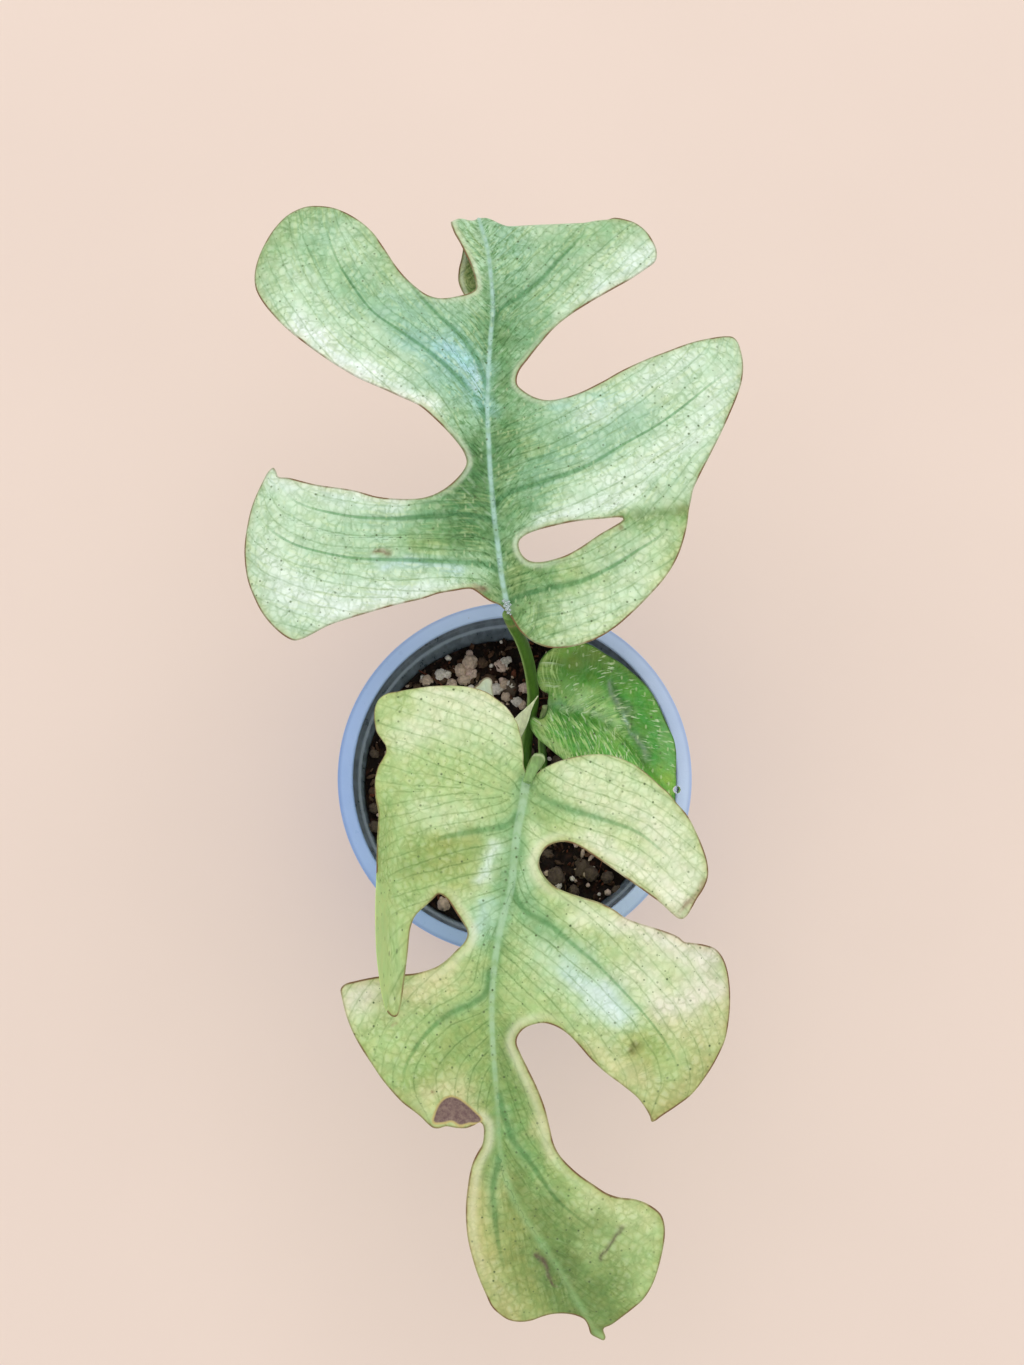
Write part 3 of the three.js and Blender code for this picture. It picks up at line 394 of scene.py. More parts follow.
def flat_triangles(loops, guides, spacing):
    """A flat blade in triangles: its margins, points along its veins and an even lattice between."""
    margins = np.vstack(loops)
    if guides:
        guides = thinned(np.vstack(guides), GUIDE_GAP * spacing)
        guides = guides[on_blade(guides, loops)]
        guides = [guides[edge_distance(guides, loops) > GUIDE_TO_MARGIN * spacing]]
    low, high = loops[0].min(0), loops[0].max(0)
    u, v = np.meshgrid(np.arange(low[0], high[0], spacing),
                       np.arange(low[1], high[1], LATTICE_ROW * spacing))
    u[1::2] += spacing / 2
    lattice = np.column_stack([u.ravel(), v.ravel()])
    # A small shift of each point keeps the lattice from showing in the shading.
    lattice += LATTICE_SHIFT * spacing * np.sin(7 * lattice[:, ::-1])
    lattice = lattice[on_blade(lattice, loops)]
    fixed = np.vstack([margins] + guides)
    tree = search_tree(fixed)
    clear = [tree.find((a, b, 0))[2] > LATTICE_TO_LINES * spacing for a, b in lattice]
    spots = np.vstack([fixed, lattice[clear]])
    edges, first = [], 0
    for loop in loops:
        count = len(loop)
        edges += [(first + i, first + (i + 1) % count) for i in range(count)]
        first += count
    made = delaunay_2d_cdt([Vector(spot) for spot in spots], edges, [], 0, MERGE_DISTANCE)
    flat = np.array([tuple(spot) for spot in made[0]])
    triangles = np.array(made[2])
    return flat, triangles[on_blade(flat[triangles].mean(1), loops)]


def vertex_normals(points, triangles):
    """The unit normal at each point, each triangle weighing by its area."""
    a, b, c = (points[triangles[:, k]] for k in range(3))
    face = np.cross(b - a, c - a)
    normal = np.zeros_like(points)
    for k in range(3):
        np.add.at(normal, triangles[:, k], face)
    return normal / np.maximum(np.linalg.norm(normal, axis=1), 1e-12)[:, None]


def open_edges(triangles):
    """The directed edges that only one triangle has."""
    sides = np.vstack([triangles[:, [0, 1]], triangles[:, [1, 2]], triangles[:, [2, 0]]])
    held = {(a, b) for a, b in sides.tolist()}
    return np.array([(a, b) for a, b in sides.tolist() if (b, a) not in held])


def quads(a, b, c, d):
    """Two triangles for each four corners, given as four columns of indices."""
    return np.vstack([np.column_stack([a, b, c]), np.column_stack([a, c, d])])


def tones(rows):
    """Linear colours by point, the way the materials read them."""
    return {"tone": ("FLOAT_COLOR", "color", np.column_stack([rows[:, :3], np.ones(len(rows))]))}


def make_piece(name, points, faces, materials, replaced=(), material_index=None,
               values=None, sharp=50):
    """Adds a mesh piece, given in millimetres, to the body that the whole plant rides on."""
    mesh = bpy.data.meshes.new(name)
    mesh.from_pydata((np.asarray(points) * MM).tolist(), [], [tuple(face) for face in faces])
    for material in materials:
        mesh.materials.append(material)
    if material_index is not None:
        mesh.polygons.foreach_set("material_index", np.asarray(material_index, np.int32))
    for key, (kind, field, rows) in (values or {}).items():
        attribute = mesh.attributes.new(key, kind, "POINT")
        attribute.data.foreach_set(field, np.asarray(rows, np.float32).ravel())
    mesh.shade_smooth()
    mesh.set_sharp_from_angle(angle=math.radians(sharp))
    piece = bpy.data.objects.new(name, mesh)
    bpy.context.scene.collection.objects.link(piece)
    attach(piece, BODY)
    for node in replaced:
        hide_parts(node)
    return piece


def joined(parts):
    """Several (points, faces) meshes as one."""
    points, faces, first = [], [], 0
    for part_points, part_faces in parts:
        points.append(part_points)
        faces.append(np.asarray(part_faces) + first)
        first += len(part_points)
    return np.vstack(points), np.vstack(faces)


TUBE_LINE_STEP = 0.2


def tube(path, radius_at, steps, sides, section=None):
    """A closed tube along a smooth path; section scales the radius by the angle round it."""
    line = smooth_line(path, TUBE_LINE_STEP)
    share = np.linspace(0, 1, steps + 1)
    reach = np.linspace(0, 1, len(line))
    centre = np.column_stack([np.interp(share, reach, axis) for axis in line.T])
    along = np.gradient(centre, axis=0)
    along /= np.linalg.norm(along, axis=1)[:, None]
    side = np.cross(along, (0, 1, 0.3))
    side /= np.linalg.norm(side, axis=1)[:, None]
    front = np.cross(side, along)
    angle = np.linspace(0, math.tau, sides, endpoint=False)
    around = np.ones(sides) if section is None else section(angle)
    points = []
    for i, t in enumerate(share):
        ring = np.cos(angle)[:, None] * side[i] + np.sin(angle)[:, None] * front[i]
        points.append(centre[i] + radius_at(t) * around[:, None] * ring)
    faces = []
    for i in range(steps):
        for j in range(sides):
            a, b = i * sides + j, i * sides + (j + 1) % sides
            faces += [(a, b, a + sides), (b, b + sides, a + sides)]
    foot, tip = (steps + 1) * sides, (steps + 1) * sides + 1
    last = steps * sides
    for j in range(sides):
        faces += [(foot, (j + 1) % sides, j), (tip, last + j, last + (j + 1) % sides)]
    return np.vstack(points + [centre[:1], centre[-1:]]), faces


ARC_STEPS = 6
LONGEST_CORNER = 0.45  # as a share of the straight beside it


def rounded(profile):
    """A (radius, height, corner radius) profile with its corners turned into arcs."""
    line = []
    for i, (r, z, corner) in enumerate(profile):
        here = np.array([r, z])
        if corner == 0:
            line.append(here)
            continue
        back = np.array(profile[i - 1][:2]) - here
        on = np.array(profile[i + 1][:2]) - here
        reach = min(corner, *(LONGEST_CORNER * np.linalg.norm(side) for side in (back, on)))
        start = here + back / np.linalg.norm(back) * reach
        end = here + on / np.linalg.norm(on) * reach
        for t in np.linspace(0, 1, ARC_STEPS):
            line.append((1 - t) ** 2 * start + 2 * t * (1 - t) * here + t * t * end)
    return line


def icosphere(levels):
    """Points and triangles of a unit ball made by splitting an icosahedron."""
    g = (1 + 5**0.5) / 2
    points = [(-1, g, 0), (1, g, 0), (-1, -g, 0), (1, -g, 0), (0, -1, g), (0, 1, g), (0, -1, -g),
              (0, 1, -g), (g, 0, -1), (g, 0, 1), (-g, 0, -1), (-g, 0, 1)]
    faces = [(0, 11, 5), (0, 5, 1), (0, 1, 7), (0, 7, 10), (0, 10, 11), (1, 5, 9), (5, 11, 4),
             (11, 10, 2), (10, 7, 6), (7, 1, 8), (3, 9, 4), (3, 4, 2), (3, 2, 6), (3, 6, 8),
             (3, 8, 9), (4, 9, 5), (2, 4, 11), (6, 2, 10), (8, 6, 7), (9, 8, 1)]
    points = [Vector(p).normalized() for p in points]
    for _ in range(levels):
        middle, split = {}, []

        def between(a, b):
            """The point halfway along an edge, made once for both of its triangles."""
            key = (min(a, b), max(a, b))
            if key not in middle:
                middle[key] = len(points)
                points.append(((points[a] + points[b]) / 2).normalized())
            return middle[key]

        for a, b, c in faces:
            ab, bc, ca = between(a, b), between(b, c), between(c, a)
            split += [(a, ab, ca), (b, bc, ab), (c, ca, bc), (ab, bc, ca)]
        faces = split
    return np.array([tuple(p) for p in points]), np.array(faces)


# ---- Helpers: materials ----
EASED = {"interpolation_type": "SMOOTHSTEP"}
TIMES = {"operation": "MULTIPLY"}
MIXED = {"data_type": "RGBA"}
STAINED = {"data_type": "RGBA", "blend_type": "MULTIPLY"}


def put(tree, kind, inputs=(), out=0, **named):
    """Adds a node, sets or links its inputs and returns one of its outputs.

    Names that start with a capital are inputs, the others are settings. A colour can be given in hex.
    """
    node = tree.nodes.new("ShaderNode" + kind)
    sockets = dict(inputs.items() if isinstance(inputs, dict) else enumerate(inputs))
    for name, value in named.items():
        if name[0].isupper():
            sockets[name] = value
        else:
            setattr(node, name, value)
    for socket, value in sockets.items():
        if isinstance(value, bpy.types.NodeSocket):
            tree.links.new(value, node.inputs[socket])
        else:
            node.inputs[socket].default_value = linear(value) if isinstance(value, str) else value
    return node.outputs[out]


def new_material(name, **uniform):
    """A material with one Principled shader, and the inputs that are the same all over."""
    material = bpy.data.materials.new(name)
    material.use_nodes = True
    shader = material.node_tree.nodes["Principled BSDF"]
    for socket, value in uniform.items():
        shader.inputs[socket.replace("_", " ")].default_value = value
    return material, material.node_tree, shader


def line_mask(tree, distance, half_width, softness):
    """1 within half_width of zero distance, fading to 0 over softness, all in millimetres."""
    size = put(tree, "Math", [distance], operation="ABSOLUTE")
    end = put(tree, "Math", [half_width, softness], operation="ADD")
    return put(tree, "MapRange", [size, half_width, end, 1.0, 0.0], **EASED)


def raise_shading(tree, shader, height, depth_mm):
    """Raises the shading by a height from 0 to 1 times a depth in millimetres."""
    normal = put(tree, "Bump", Strength=1.0, Distance=depth_mm * MM, Height=height)
    tree.links.new(normal, shader.inputs["Normal"])


def millimetres(tree):
    """The row frame's coordinates in millimetres, for patterns in real sizes."""
    place = put(tree, "TexCoord", out="Object")
    return put(tree, "VectorMath", {0: place, "Scale": 1 / MM}, operation="SCALE")


# ---- Settings that a user would change ----
def length_property(name, description, millimetre):
    """A length that the panel shows in the scene's unit, with its default in millimetres."""
    return FloatProperty(name=name, description=description, default=millimetre * MM, unit="LENGTH",
                         precision=5, min=0.0)


def colour_property(name, description, hex_colour):
    """A colour with its default in sRGB hex."""
    return FloatVectorProperty(name=name, description=description, default=linear(hex_colour), size=4,
                               subtype="COLOR", min=0.0, max=1.0)


class MonsteraLeafSettings(bpy.types.PropertyGroup):
    """Sizes and colours that the leaf blades share"""

    thickness: length_property("Blade thickness", "Thickness away from the margin", 0.45)
    spacing: length_property("Mesh spacing", "Distance between the points of a blade", 0.66)
    net_cell: length_property("Net vein cell", "Width of a cell of the finest veins", 2.1)
    side_vein_gap: length_property("Side vein gap", "Distance between two side veins", 3.4)
    vein_tint: colour_property("Vein tint", "What the fine veins multiply the blade by", "#A3B88C")
    lateral_tint: colour_property("Lateral tint", "What the laterals multiply the blade by", "#AACBAE")
    # The midrib's paler colour also carries a painted highlight along its ridge.
    rib_colour: colour_property("Midrib", "Colour of the raised midrib", "#9DC4B0")
    dot_colour: colour_property("Dots", "Colour of the scattered dark dots", "#51643A")
    margin_colour: colour_property("Margin", "Colour of the thin dry margin", "#7C5D3E")
    scorch_colour: colour_property("Dead patch", "Colour of the dead tissue", "#6B5250")


class MonsteraStalkSettings(bpy.types.PropertyGroup):
    """Colours of stem, stalks, spear and young leaf"""

    stalk_colour: colour_property("Stalk", "Main colour of the leaf stalks", "#466F20")
    # Painted highlight: the colour of the stalks' lit left side.
    lit_side_colour: colour_property("Stripe", "Paler stripe along the stalks", "#A3C676")
    spear_colour: colour_property("Spear", "Sheath of the next leaf", "#EEF8D2")


class MonsteraPotSettings(bpy.types.PropertyGroup):
    """Sizes and colours of the nursery pot"""

    rim_radius: length_property("Rim radius", "Outer radius of the flange", POT_HIGH.x / MM)
    height: length_property("Height", "From the flat underside to the rim", POT_HIGH.z / MM)
    sides: IntProperty(name="Sides", description="Faces round the pot", default=192, min=24)
    plastic: colour_property("Plastic", "Moulded polypropylene", "#9FBCF0")
    # The inner wall's colour: painted shade inside the pot, together with its damp film.
    inner_shade_and_film: colour_property("Inner wall", "Plastic under a damp film, out of the light", "#5B6774")


class MonsteraSoilSettings(bpy.types.PropertyGroup):
    """Sizes and colours of the potting mix"""

    small_grains: IntProperty(name="Small grains", description="Bits of bark and coir", default=1500)
    perlite: IntProperty(name="Perlite", description="Scattered perlite grains", default=150)
    humus: colour_property("Humus", "Moist coir and peat", "#170E0B")
    bark: colour_property("Bark", "Composted bark", "#3A221A")


class MonsteraStageSettings(bpy.types.PropertyGroup):
    """Floor, lights and camera"""

    floor_colour: colour_property("Floor", "Matt painted board", "#E9D6CA")
    floor_reach: length_property("Floor reach", "From the middle to the floor's edge", 2000)
    lens_mm: FloatProperty(name="Lens", description="Focal length in millimetres", default=36.92)
    camera_tilt: FloatProperty(name="Tilt", description="Camera turned up from straight down",
                               default=math.radians(10), subtype="ANGLE")
    key_power: FloatProperty(name="Key light", description="Power of the large soft light", default=10.0,
                             unit="POWER")


# ---- Leaf blades ----
RIB_SOFTNESS = 3
EDGE_DROOP = 0.02
UPPER_BOW, UPPER_BOW_LENGTH, UPPER_DROOP_START = 5.2, 110, 52
LOWER_BOW, LOWER_BOW_LENGTH, LOWER_DROOP_START = 9, 75, 40
MARGIN_STEP = 0.5
MARGIN_TAPER = 1.2
MARGIN_SHARE = 0.4
DEEP_REACH = 13
RIM_REACH = 15
LATERAL_BAND = 2.2
RIB_BAND, RIB_BAND_LOSS, RIB_BAND_SHARE = 1.9, 0.9, 0.55
VEIN_BAND, VEIN_BAND_SHARE = 1.1, 0.22

FOLD_RADIUS = 3.2
FOLD_START = 0.19
FOLD_TURN = 3.1


def fold_line(u):
    """How far up the upper blade folds under, from its left to its right."""
    bumps = 2.8 * bump(u + 6.6, 3.8) + 2 * bump(u + 13.4, 2.8)
    ends = ramp(u, 20, 27) + 3 * ramp(u, 27, 31)
    left = 0.3 * ramp(u, 0, -3) + 20 * ramp(u, -18, -20)
    return 108.6 + bumps + ends + left


def quarter_wave(distance, reach):
    """Rises from 0 to 1 along a quarter of a sine wave."""
    return np.sin(np.clip(distance, 0, reach) / reach * math.pi / 2)


def upper_height(u, v):
    """Height of the upper blade before its tip folds: a shallow trough along a bowed midrib."""
    side = rib_distance(u + UPPER_BOW * quarter_wave(v, UPPER_BOW_LENGTH), RIB_SOFTNESS)
    droop = EDGE_DROOP * np.maximum(side - UPPER_DROOP_START, 0) ** 2
    return bowed(v, 0.08, 0.0012) + bowed(side, 0.16, 0.0022) - droop


def upper_surface(u, v):
    """The upper blade, its tip folded under."""
    fold = fold_line(u)
    past = np.maximum(v - fold, 0)
    turn = np.minimum(past / FOLD_RADIUS, FOLD_TURN)
    angle = FOLD_START + turn
    rest = past - turn * FOLD_RADIUS
    bent = past > 0
    y = fold + FOLD_RADIUS * (np.sin(angle) - math.sin(FOLD_START)) + rest * np.cos(angle)
    z = FOLD_RADIUS * (np.cos(angle) - math.cos(FOLD_START)) - rest * np.sin(angle)
    height = upper_height(u, np.minimum(v, fold)) + np.where(bent, z, 0)
    return np.column_stack([u, np.where(bent, y, v), height]) + UPPER_BASE


CURL_ROOT = -28
CURL_START = -30.1
CURL_RADIUS = 6
CURL_TURN = 1.3
CURL_TIP_REACH = 11.5
CURL_TIP_LIFT = 4
CURL_FRONT = -36
CURL_TIP_LENGTH = 14
CURL_LIMIT = -51.4


def lower_height(u, v):
    """Height of the lower blade without its curl; its midrib bows left and then swings right."""
    down = -v
    outward = np.maximum(down - LOWER_BOW_LENGTH, 0)
    offset = u + LOWER_BOW * quarter_wave(down, LOWER_BOW_LENGTH)
    offset = offset - 0.0045 * outward**2 - 0.02 * outward
    side = rib_distance(offset, RIB_SOFTNESS)
    droop = EDGE_DROOP * np.maximum(side - LOWER_DROOP_START, 0) ** 2
    # The lobe below the curl's end dips under it.
    dip = 1.5 * bump(np.hypot(u + 36, v + 58), 9)
    return bowed(down, 0.03, 0.0016) + bowed(side, 0.14, 0.0024) - droop - dip


def lower_surface(u, v):
    """The lower blade, its left margin standing up in a curl that is drawn out over the next lobe."""
    curled = (u < CURL_ROOT) & (v > CURL_LIMIT)
    past = np.maximum(CURL_START - u, 0)
    bend = np.maximum(ramp(v, 6, -14), 0.001) / CURL_RADIUS
    angle = bend * np.minimum(past, CURL_RADIUS * CURL_TURN)
    rest = np.maximum(past - CURL_RADIUS * CURL_TURN, 0)
    tip = smooth_step((CURL_FRONT - v) / CURL_TIP_LENGTH) * ramp(u, CURL_ROOT, CURL_ROOT - 3)
    start = np.maximum(u, CURL_START)
    x = start - np.sin(angle) / bend - rest * np.cos(angle)
    z = lower_height(start, v) + (1 - np.cos(angle)) / bend + rest * np.sin(angle)
    curl = np.column_stack([x, v - CURL_TIP_REACH * tip, z + CURL_TIP_LIFT * tip])
    plain = np.column_stack([u, v, lower_height(u, v)])
    return np.where(curled[:, None], curl, plain) + LOWER_BASE


SMALL_TURN = math.radians(38)


def small_surface(u, v):
    """The small blade, folded a little along its midrib, which runs down to the right."""
    along = u * math.cos(SMALL_TURN) - v * math.sin(SMALL_TURN)
    across = u * math.sin(SMALL_TURN) + v * math.cos(SMALL_TURN)
    side = rib_distance(across, RIB_SOFTNESS - 1)
    height = bowed(along, 0.02, 0.002) + bowed(side, 0.18, 0.0055)
    return np.column_stack([u, v, height]) + SMALL_BASE


def young_surface(u, v):
    """The youngest blade, a narrow upright trough."""
    side = rib_distance(u + 0.32 * v, 1)
    height = bowed(v, 0.35, 0.012) + 0.25 * side
    return np.column_stack([u, v, height]) + YOUNG_BASE


WOBBLE_REACH = 3.2
WOBBLE_SIZE = 8
RIPPLE_REACH = 1.1
RIPPLE_SIZE = 2.6


def painted(points, ground, strokes, seed):
    """Soft strokes of colour over a ground colour, wobbled so that none keeps a straight edge.

    A stroke is (hex colour, half width in millimetres, strength, [points]).
    """
    wobble = np.column_stack([rough(points, WOBBLE_SIZE, seed + k) for k in (0, 3)])
    ripple = np.column_stack([rough(points, RIPPLE_SIZE, seed + k) for k in (5, 9)])
    spots = points + WOBBLE_REACH * wobble + RIPPLE_REACH * ripple
    colour = np.tile(encoded(ground), (len(points), 1)) if isinstance(ground, str) else ground
    for hex_colour, width, strength, route in strokes:
        if len(route) == 1:
            distance = np.hypot(*(spots - route[0]).T)
        else:
            distance = np.abs(line_field(spots, np.array(route, float))[0])
        share = (strength * bump(distance, width))[:, None]
        colour = colour * (1 - share) + encoded(hex_colour) * share
    return colour


RIB_STEP = 0.6
LATERAL_STEP = 0.8
CREASE_STEP = 0.5
RIB_FLANKS = (-1.1, -0.55, 0.55, 1.1)
CREASE_FLANKS = (-0.6, 0, 0.6)
OVERSHOOT = np.arange(1, 19) * LATERAL_STEP


def overshot(line):
    """The line carried straight on past both of its ends."""
    first, last = line[0] - line[1], line[-1] - line[-2]
    back = line[0] + OVERSHOOT[::-1, None] * first / np.linalg.norm(first)
    return np.vstack([back, line, line[-1] + OVERSHOOT[:, None] * last / np.linalg.norm(last)])


class Blade:
    """A flat blade with its veins measured at every point."""

    def __init__(self, loops, rib, laterals, spacing, creases, vein_gap, seed):
        self.rib_line = smooth_line(rib, RIB_STEP)
        self.lateral_lines = [smooth_line(line, LATERAL_STEP) for line in laterals]
        guides = [self.rib_line] + self.lateral_lines
        guides += [beside(self.rib_line, shift) for shift in RIB_FLANKS]
        for line in creases:
            guides += [beside(smooth_line(line, CREASE_STEP), shift) for shift in CREASE_FLANKS]
        self.loops = loops
        self.flat, self.triangles = flat_triangles(loops, guides, spacing)
        self.edge = edge_distance(self.flat, loops)
        self.rib, self.rib_along = line_field(self.flat, self.rib_line)
        self.rib_share = self.rib_along / self.rib_along.max()
        self._measure_laterals()
        self._measure_side_veins(grown_veins(self, vein_gap, seed))

    def _measure_laterals(self):
        """The nearest lateral on each point's own side of the midrib, and how far the next one is."""
        fields = [line_field(self.flat, overshot(line)) for line in self.lateral_lines]
        lengths = np.array([np.linalg.norm(np.diff(line, axis=0), axis=1).sum()
                            for line in self.lateral_lines])
        own = np.array([line_field(line[len(line) // 2][None], self.rib_line)[0][0]
                        for line in self.lateral_lines])
        across = own[:, None] * self.rib < 0
        distance = np.abs(np.array([field[0] for field in fields])) + FAR * across
        order = np.argsort(distance, axis=0)
        rows = np.arange(len(self.flat))
        nearest = order[0]
        self.lateral = np.array([field[0] for field in fields])[nearest, rows]
        self.lateral_along = np.array([field[1] for field in fields])[nearest, rows] - OVERSHOOT[-1]
        self.lateral_share = self.lateral_along / lengths[nearest]
        self.gap = distance[order[1], rows] - distance[nearest, rows]

    def _measure_side_veins(self, routes):
        """The nearest side vein: its signed distance and how strong it is there."""
        spots = np.vstack([route for route, _ in routes])
        ways = np.vstack([np.gradient(route, axis=0) for route, _ in routes])
        strength = np.concatenate([share for _, share in routes])
        tree = search_tree(spots)
        found = [tree.find((u, v, 0)) for u, v in self.flat]
        near = np.array([hit[1] for hit in found])
        self.vein_away = np.array([hit[2] for hit in found])
        offset = self.flat - spots[near]
        turn = ways[near, 0] * offset[:, 1] - ways[near, 1] * offset[:, 0]
        self.vein = np.where(turn >= 0, 1, -1) * self.vein_away
        self.vein_strength = strength[near]


VEIN_STEP = 0.5
FREE_STEPS = 9
MOST_STEPS = 300
FEWEST_STEPS = 3
MEETING_SHARE = 0.36  # A vein joins another one that comes nearer than this share of their gap,
ROOM_SHARE = 0.8      # and a new one starts where there is more room than this share.
GRAIN_CELL = 0.7


class Grain:
    """Which way the side veins of a blade run, held on a square lattice for each side of the midrib."""

    def __init__(self, blade, seed):
        self.low = blade.loops[0].min(0) - 2
        self.count = np.ceil((blade.loops[0].max(0) + 2 - self.low) / GRAIN_CELL).astype(int) + 1
        u, v = np.meshgrid(*(np.arange(self.count[k]) * GRAIN_CELL + self.low[k] for k in (0, 1)),
                           indexing="ij")
        lattice = np.column_stack([u.ravel(), v.ravel()])
        self.covered = on_blade(lattice, blade.loops).reshape(self.count)
        wobble = 0.22 * rough(lattice, 5, seed)[:, None]
        self.ways = {side: np.zeros_like(lattice) for side in (-1, 1)}
        for line in blade.lateral_lines:
            way = np.gradient(line, axis=0)
            way /= np.linalg.norm(way, axis=1)[:, None]
            spots = np.vstack([line, line[-1] + OVERSHOOT[:, None] * way[-1]])
            way = np.vstack([way, np.tile(way[-1], (len(OVERSHOOT), 1))])
            middle = line[len(line) // 2][None]
            side = int(np.sign(line_field(middle, blade.rib_line)[0][0]))
            for spot, forth in zip(spots, way):
                near = 1 / (((lattice - spot) ** 2).sum(1) + 3) ** 2
                self.ways[side] += near[:, None] * forth
        for side, way in self.ways.items():
            way /= np.linalg.norm(way, axis=1)[:, None] + 1e-12
            way = way + wobble * way[:, ::-1] * (-1, 1)
            self.ways[side] = way.reshape(self.count[0], self.count[1], 2)

    def at(self, place, side):
        """The heading there, and whether the blade covers the spot."""
        i, j = (min(max(int(round((place[k] - self.low[k]) / GRAIN_CELL)), 0), self.count[k] - 1)
                for k in (0, 1))
        return self.ways[side][i, j], self.covered[i, j]


def grown_veins(blade, gap, seed):
    """Side veins as (points, strength at each), which run with the laterals from midrib to margin.

    The first leave the midrib; the others branch off where a lobe grows wider.
    """
    grain = Grain(blade, seed)
    held = np.vstack([blade.rib_line] + blade.lateral_lines)
    draw = seeded_random(seed)
    veins = []

    def trace(start, side, sense, free):
        """Steps along the grain until the vein meets another one or the margin."""
        place, route = start, []
        way, covered = grain.at(place, side)
        while covered and way.any() and len(route) < MOST_STEPS:
            place = place + sense * VEIN_STEP * way
            away = np.hypot(*(held - place).T)
            if len(route) > free and away.min() < MEETING_SHARE * gap:
                route.append(held[away.argmin()])
                break
            route.append(place)
            way, covered = grain.at(place, side)
        return route

    def kept(route, strength):
        """Adds a vein, which thins towards its end, and returns every point held so far."""
        fade = 1 - 0.35 * np.linspace(0, 1, len(route))
        veins.append((np.array(route), (strength - 0.3 * next(draw)) * fade))
        return np.vstack([held, route])

    step = max(1, round(gap / RIB_STEP))
    roots = np.array([line[0] for line in blade.lateral_lines])
    for start in blade.rib_line[step // 2::step]:
        for side in (-1, 1):
            if np.hypot(*(roots - start).T).min() > 0.5 * gap:
                route = [start] + trace(start, side, 1, FREE_STEPS)
                held = kept(route, 1.0) if len(route) > FEWEST_STEPS else held
    open_spots = thinned(blade.flat[blade.edge > 0.6], 1.0)
    clear = np.array([np.hypot(*(held - spot).T).min() for spot in open_spots])
    flank = np.where(line_field(open_spots, blade.rib_line)[0] >= 0, 1, -1)
    while (clear > ROOM_SHARE * gap).any():
        pick = np.where(clear > ROOM_SHARE * gap, clear, FAR).argmin()
        start, side = open_spots[pick], flank[pick]
        clear[pick] = 0
        route = trace(start, side, -1, 0)[::-1] + [start] + trace(start, side, 1, 0)
        if len(route) > FEWEST_STEPS:
            held = kept(route, 0.9)
            for spot in route:
                clear = np.minimum(clear, np.hypot(*(open_spots - spot).T))
    return veins


def beside(line, shift):
    """The line moved sideways by shift millimetres."""
    along = np.gradient(line, axis=0)
    along /= np.linalg.norm(along, axis=1)[:, None]
    return line + shift * along[:, ::-1] * (-1, 1)


GROOVE_WIDTH = 3.5  # The blade sinks along each lateral and swells between them.
WAVE_SIZE, WAVELET_SIZE, RIPPLE_SHARE, WAVE_DROP = 13, 4.5, 0.35, 1.9
RELIEF_FADE = 1.5
RIB_ABOVE, RIB_BELOW = 0.38, 0.8
LATERAL_ABOVE, LATERAL_BELOW = 0.1, 0.22


def lateral_presence(blade, until):
    """1 along a lateral, fading in where it leaves the midrib and out from a share of its length on."""
    ends = 1 - ramp(blade.lateral_share, until, 1)
    return ends * ramp(blade.lateral_along, -1, 1)


def blade_shape(blade, surface, thickness, puff, wave, seed, lift=None):
    """Both faces of a blade round its middle surface, with the midrib and laterals in relief."""
    u, v = blade.flat.T
    middle = surface(u, v)
    margin_fade = smooth_step(blade.edge / 3)
    fade = lateral_presence(blade, 0.75)
    middle[:, 2] -= puff * bump(blade.lateral, GROOVE_WIDTH) * fade * margin_fade + WAVE_DROP * wave
    middle[:, 2] += wave * rough(blade.flat, WAVE_SIZE, seed)
    middle[:, 2] += RIPPLE_SHARE * wave * rough(blade.flat, WAVELET_SIZE, seed + 7)
    if lift is not None:
        middle[:, 2] += lift(u, v)
    normal = vertex_normals(middle, blade.triangles)
    rib_width = 1.0 - 0.6 * blade.rib_share
    on_rib = bump(blade.rib, rib_width) * ramp(blade.rib_share, 1, 0.92)
    on_lateral = bump(blade.lateral, 0.7) * fade
    share = MARGIN_SHARE + (1 - MARGIN_SHARE) * smooth_step(blade.edge / MARGIN_TAPER)
    half = thickness * share / 2
    inward = smooth_step(blade.edge / RELIEF_FADE)
    above = half + (RIB_ABOVE * on_rib - LATERAL_ABOVE * on_lateral) * inward
    below = half + (RIB_BELOW * on_rib + LATERAL_BELOW * on_lateral) * inward
    points = np.vstack([middle + normal * above[:, None], middle - normal * below[:, None]])
    return points + PLANT_PLACE


def blade_faces(triangles, count):
    """Upper face, underside and the narrow margin, and the material number of each."""
    a, b = open_edges(triangles).T
    under = triangles[:, ::-1] + count
    faces = np.vstack([triangles, under, quads(a, a + count, b + count, b)])
    number = np.zeros(len(faces), int)
    number[len(triangles):2 * len(triangles)] = 1
    return faces, number


def blade_values(blade, tone, under_tone, deep, rim, scorch, rib_taper):
    """What the leaf materials read at each point of the mesh."""
    rib_half = np.maximum(0.62 - rib_taper * blade.rib_share, 0)
    rib_half = rib_half * ramp(blade.rib_share, 1, 0.95)
    lateral_fade = lateral_presence(blade, 0.7) * blade.lateral_weight
    flat = np.column_stack([blade.flat, np.zeros(len(blade.flat))])
    veins = np.column_stack([blade.rib, blade.lateral, blade.vein])
    sizes = np.column_stack([rib_half, lateral_fade, blade.vein_strength])
    nearby = np.column_stack([blade.vein_away, smooth_step(blade.gap / 2), blade.edge * 0])
    places = np.column_stack([blade.edge, deep, blade.lateral_along])
    extras = np.column_stack([rim, scorch, blade.rib_along])
    values = tones(as_linear(np.vstack([tone, under_tone])))
    for key, rows in (("flat_mm", flat), ("veins", veins), ("vein_size", sizes), ("places", places),
                      ("extras", extras), ("nearby", nearby)):
        values[key] = ("FLOAT_VECTOR", "vector", np.vstack([rows, rows]))
    return values
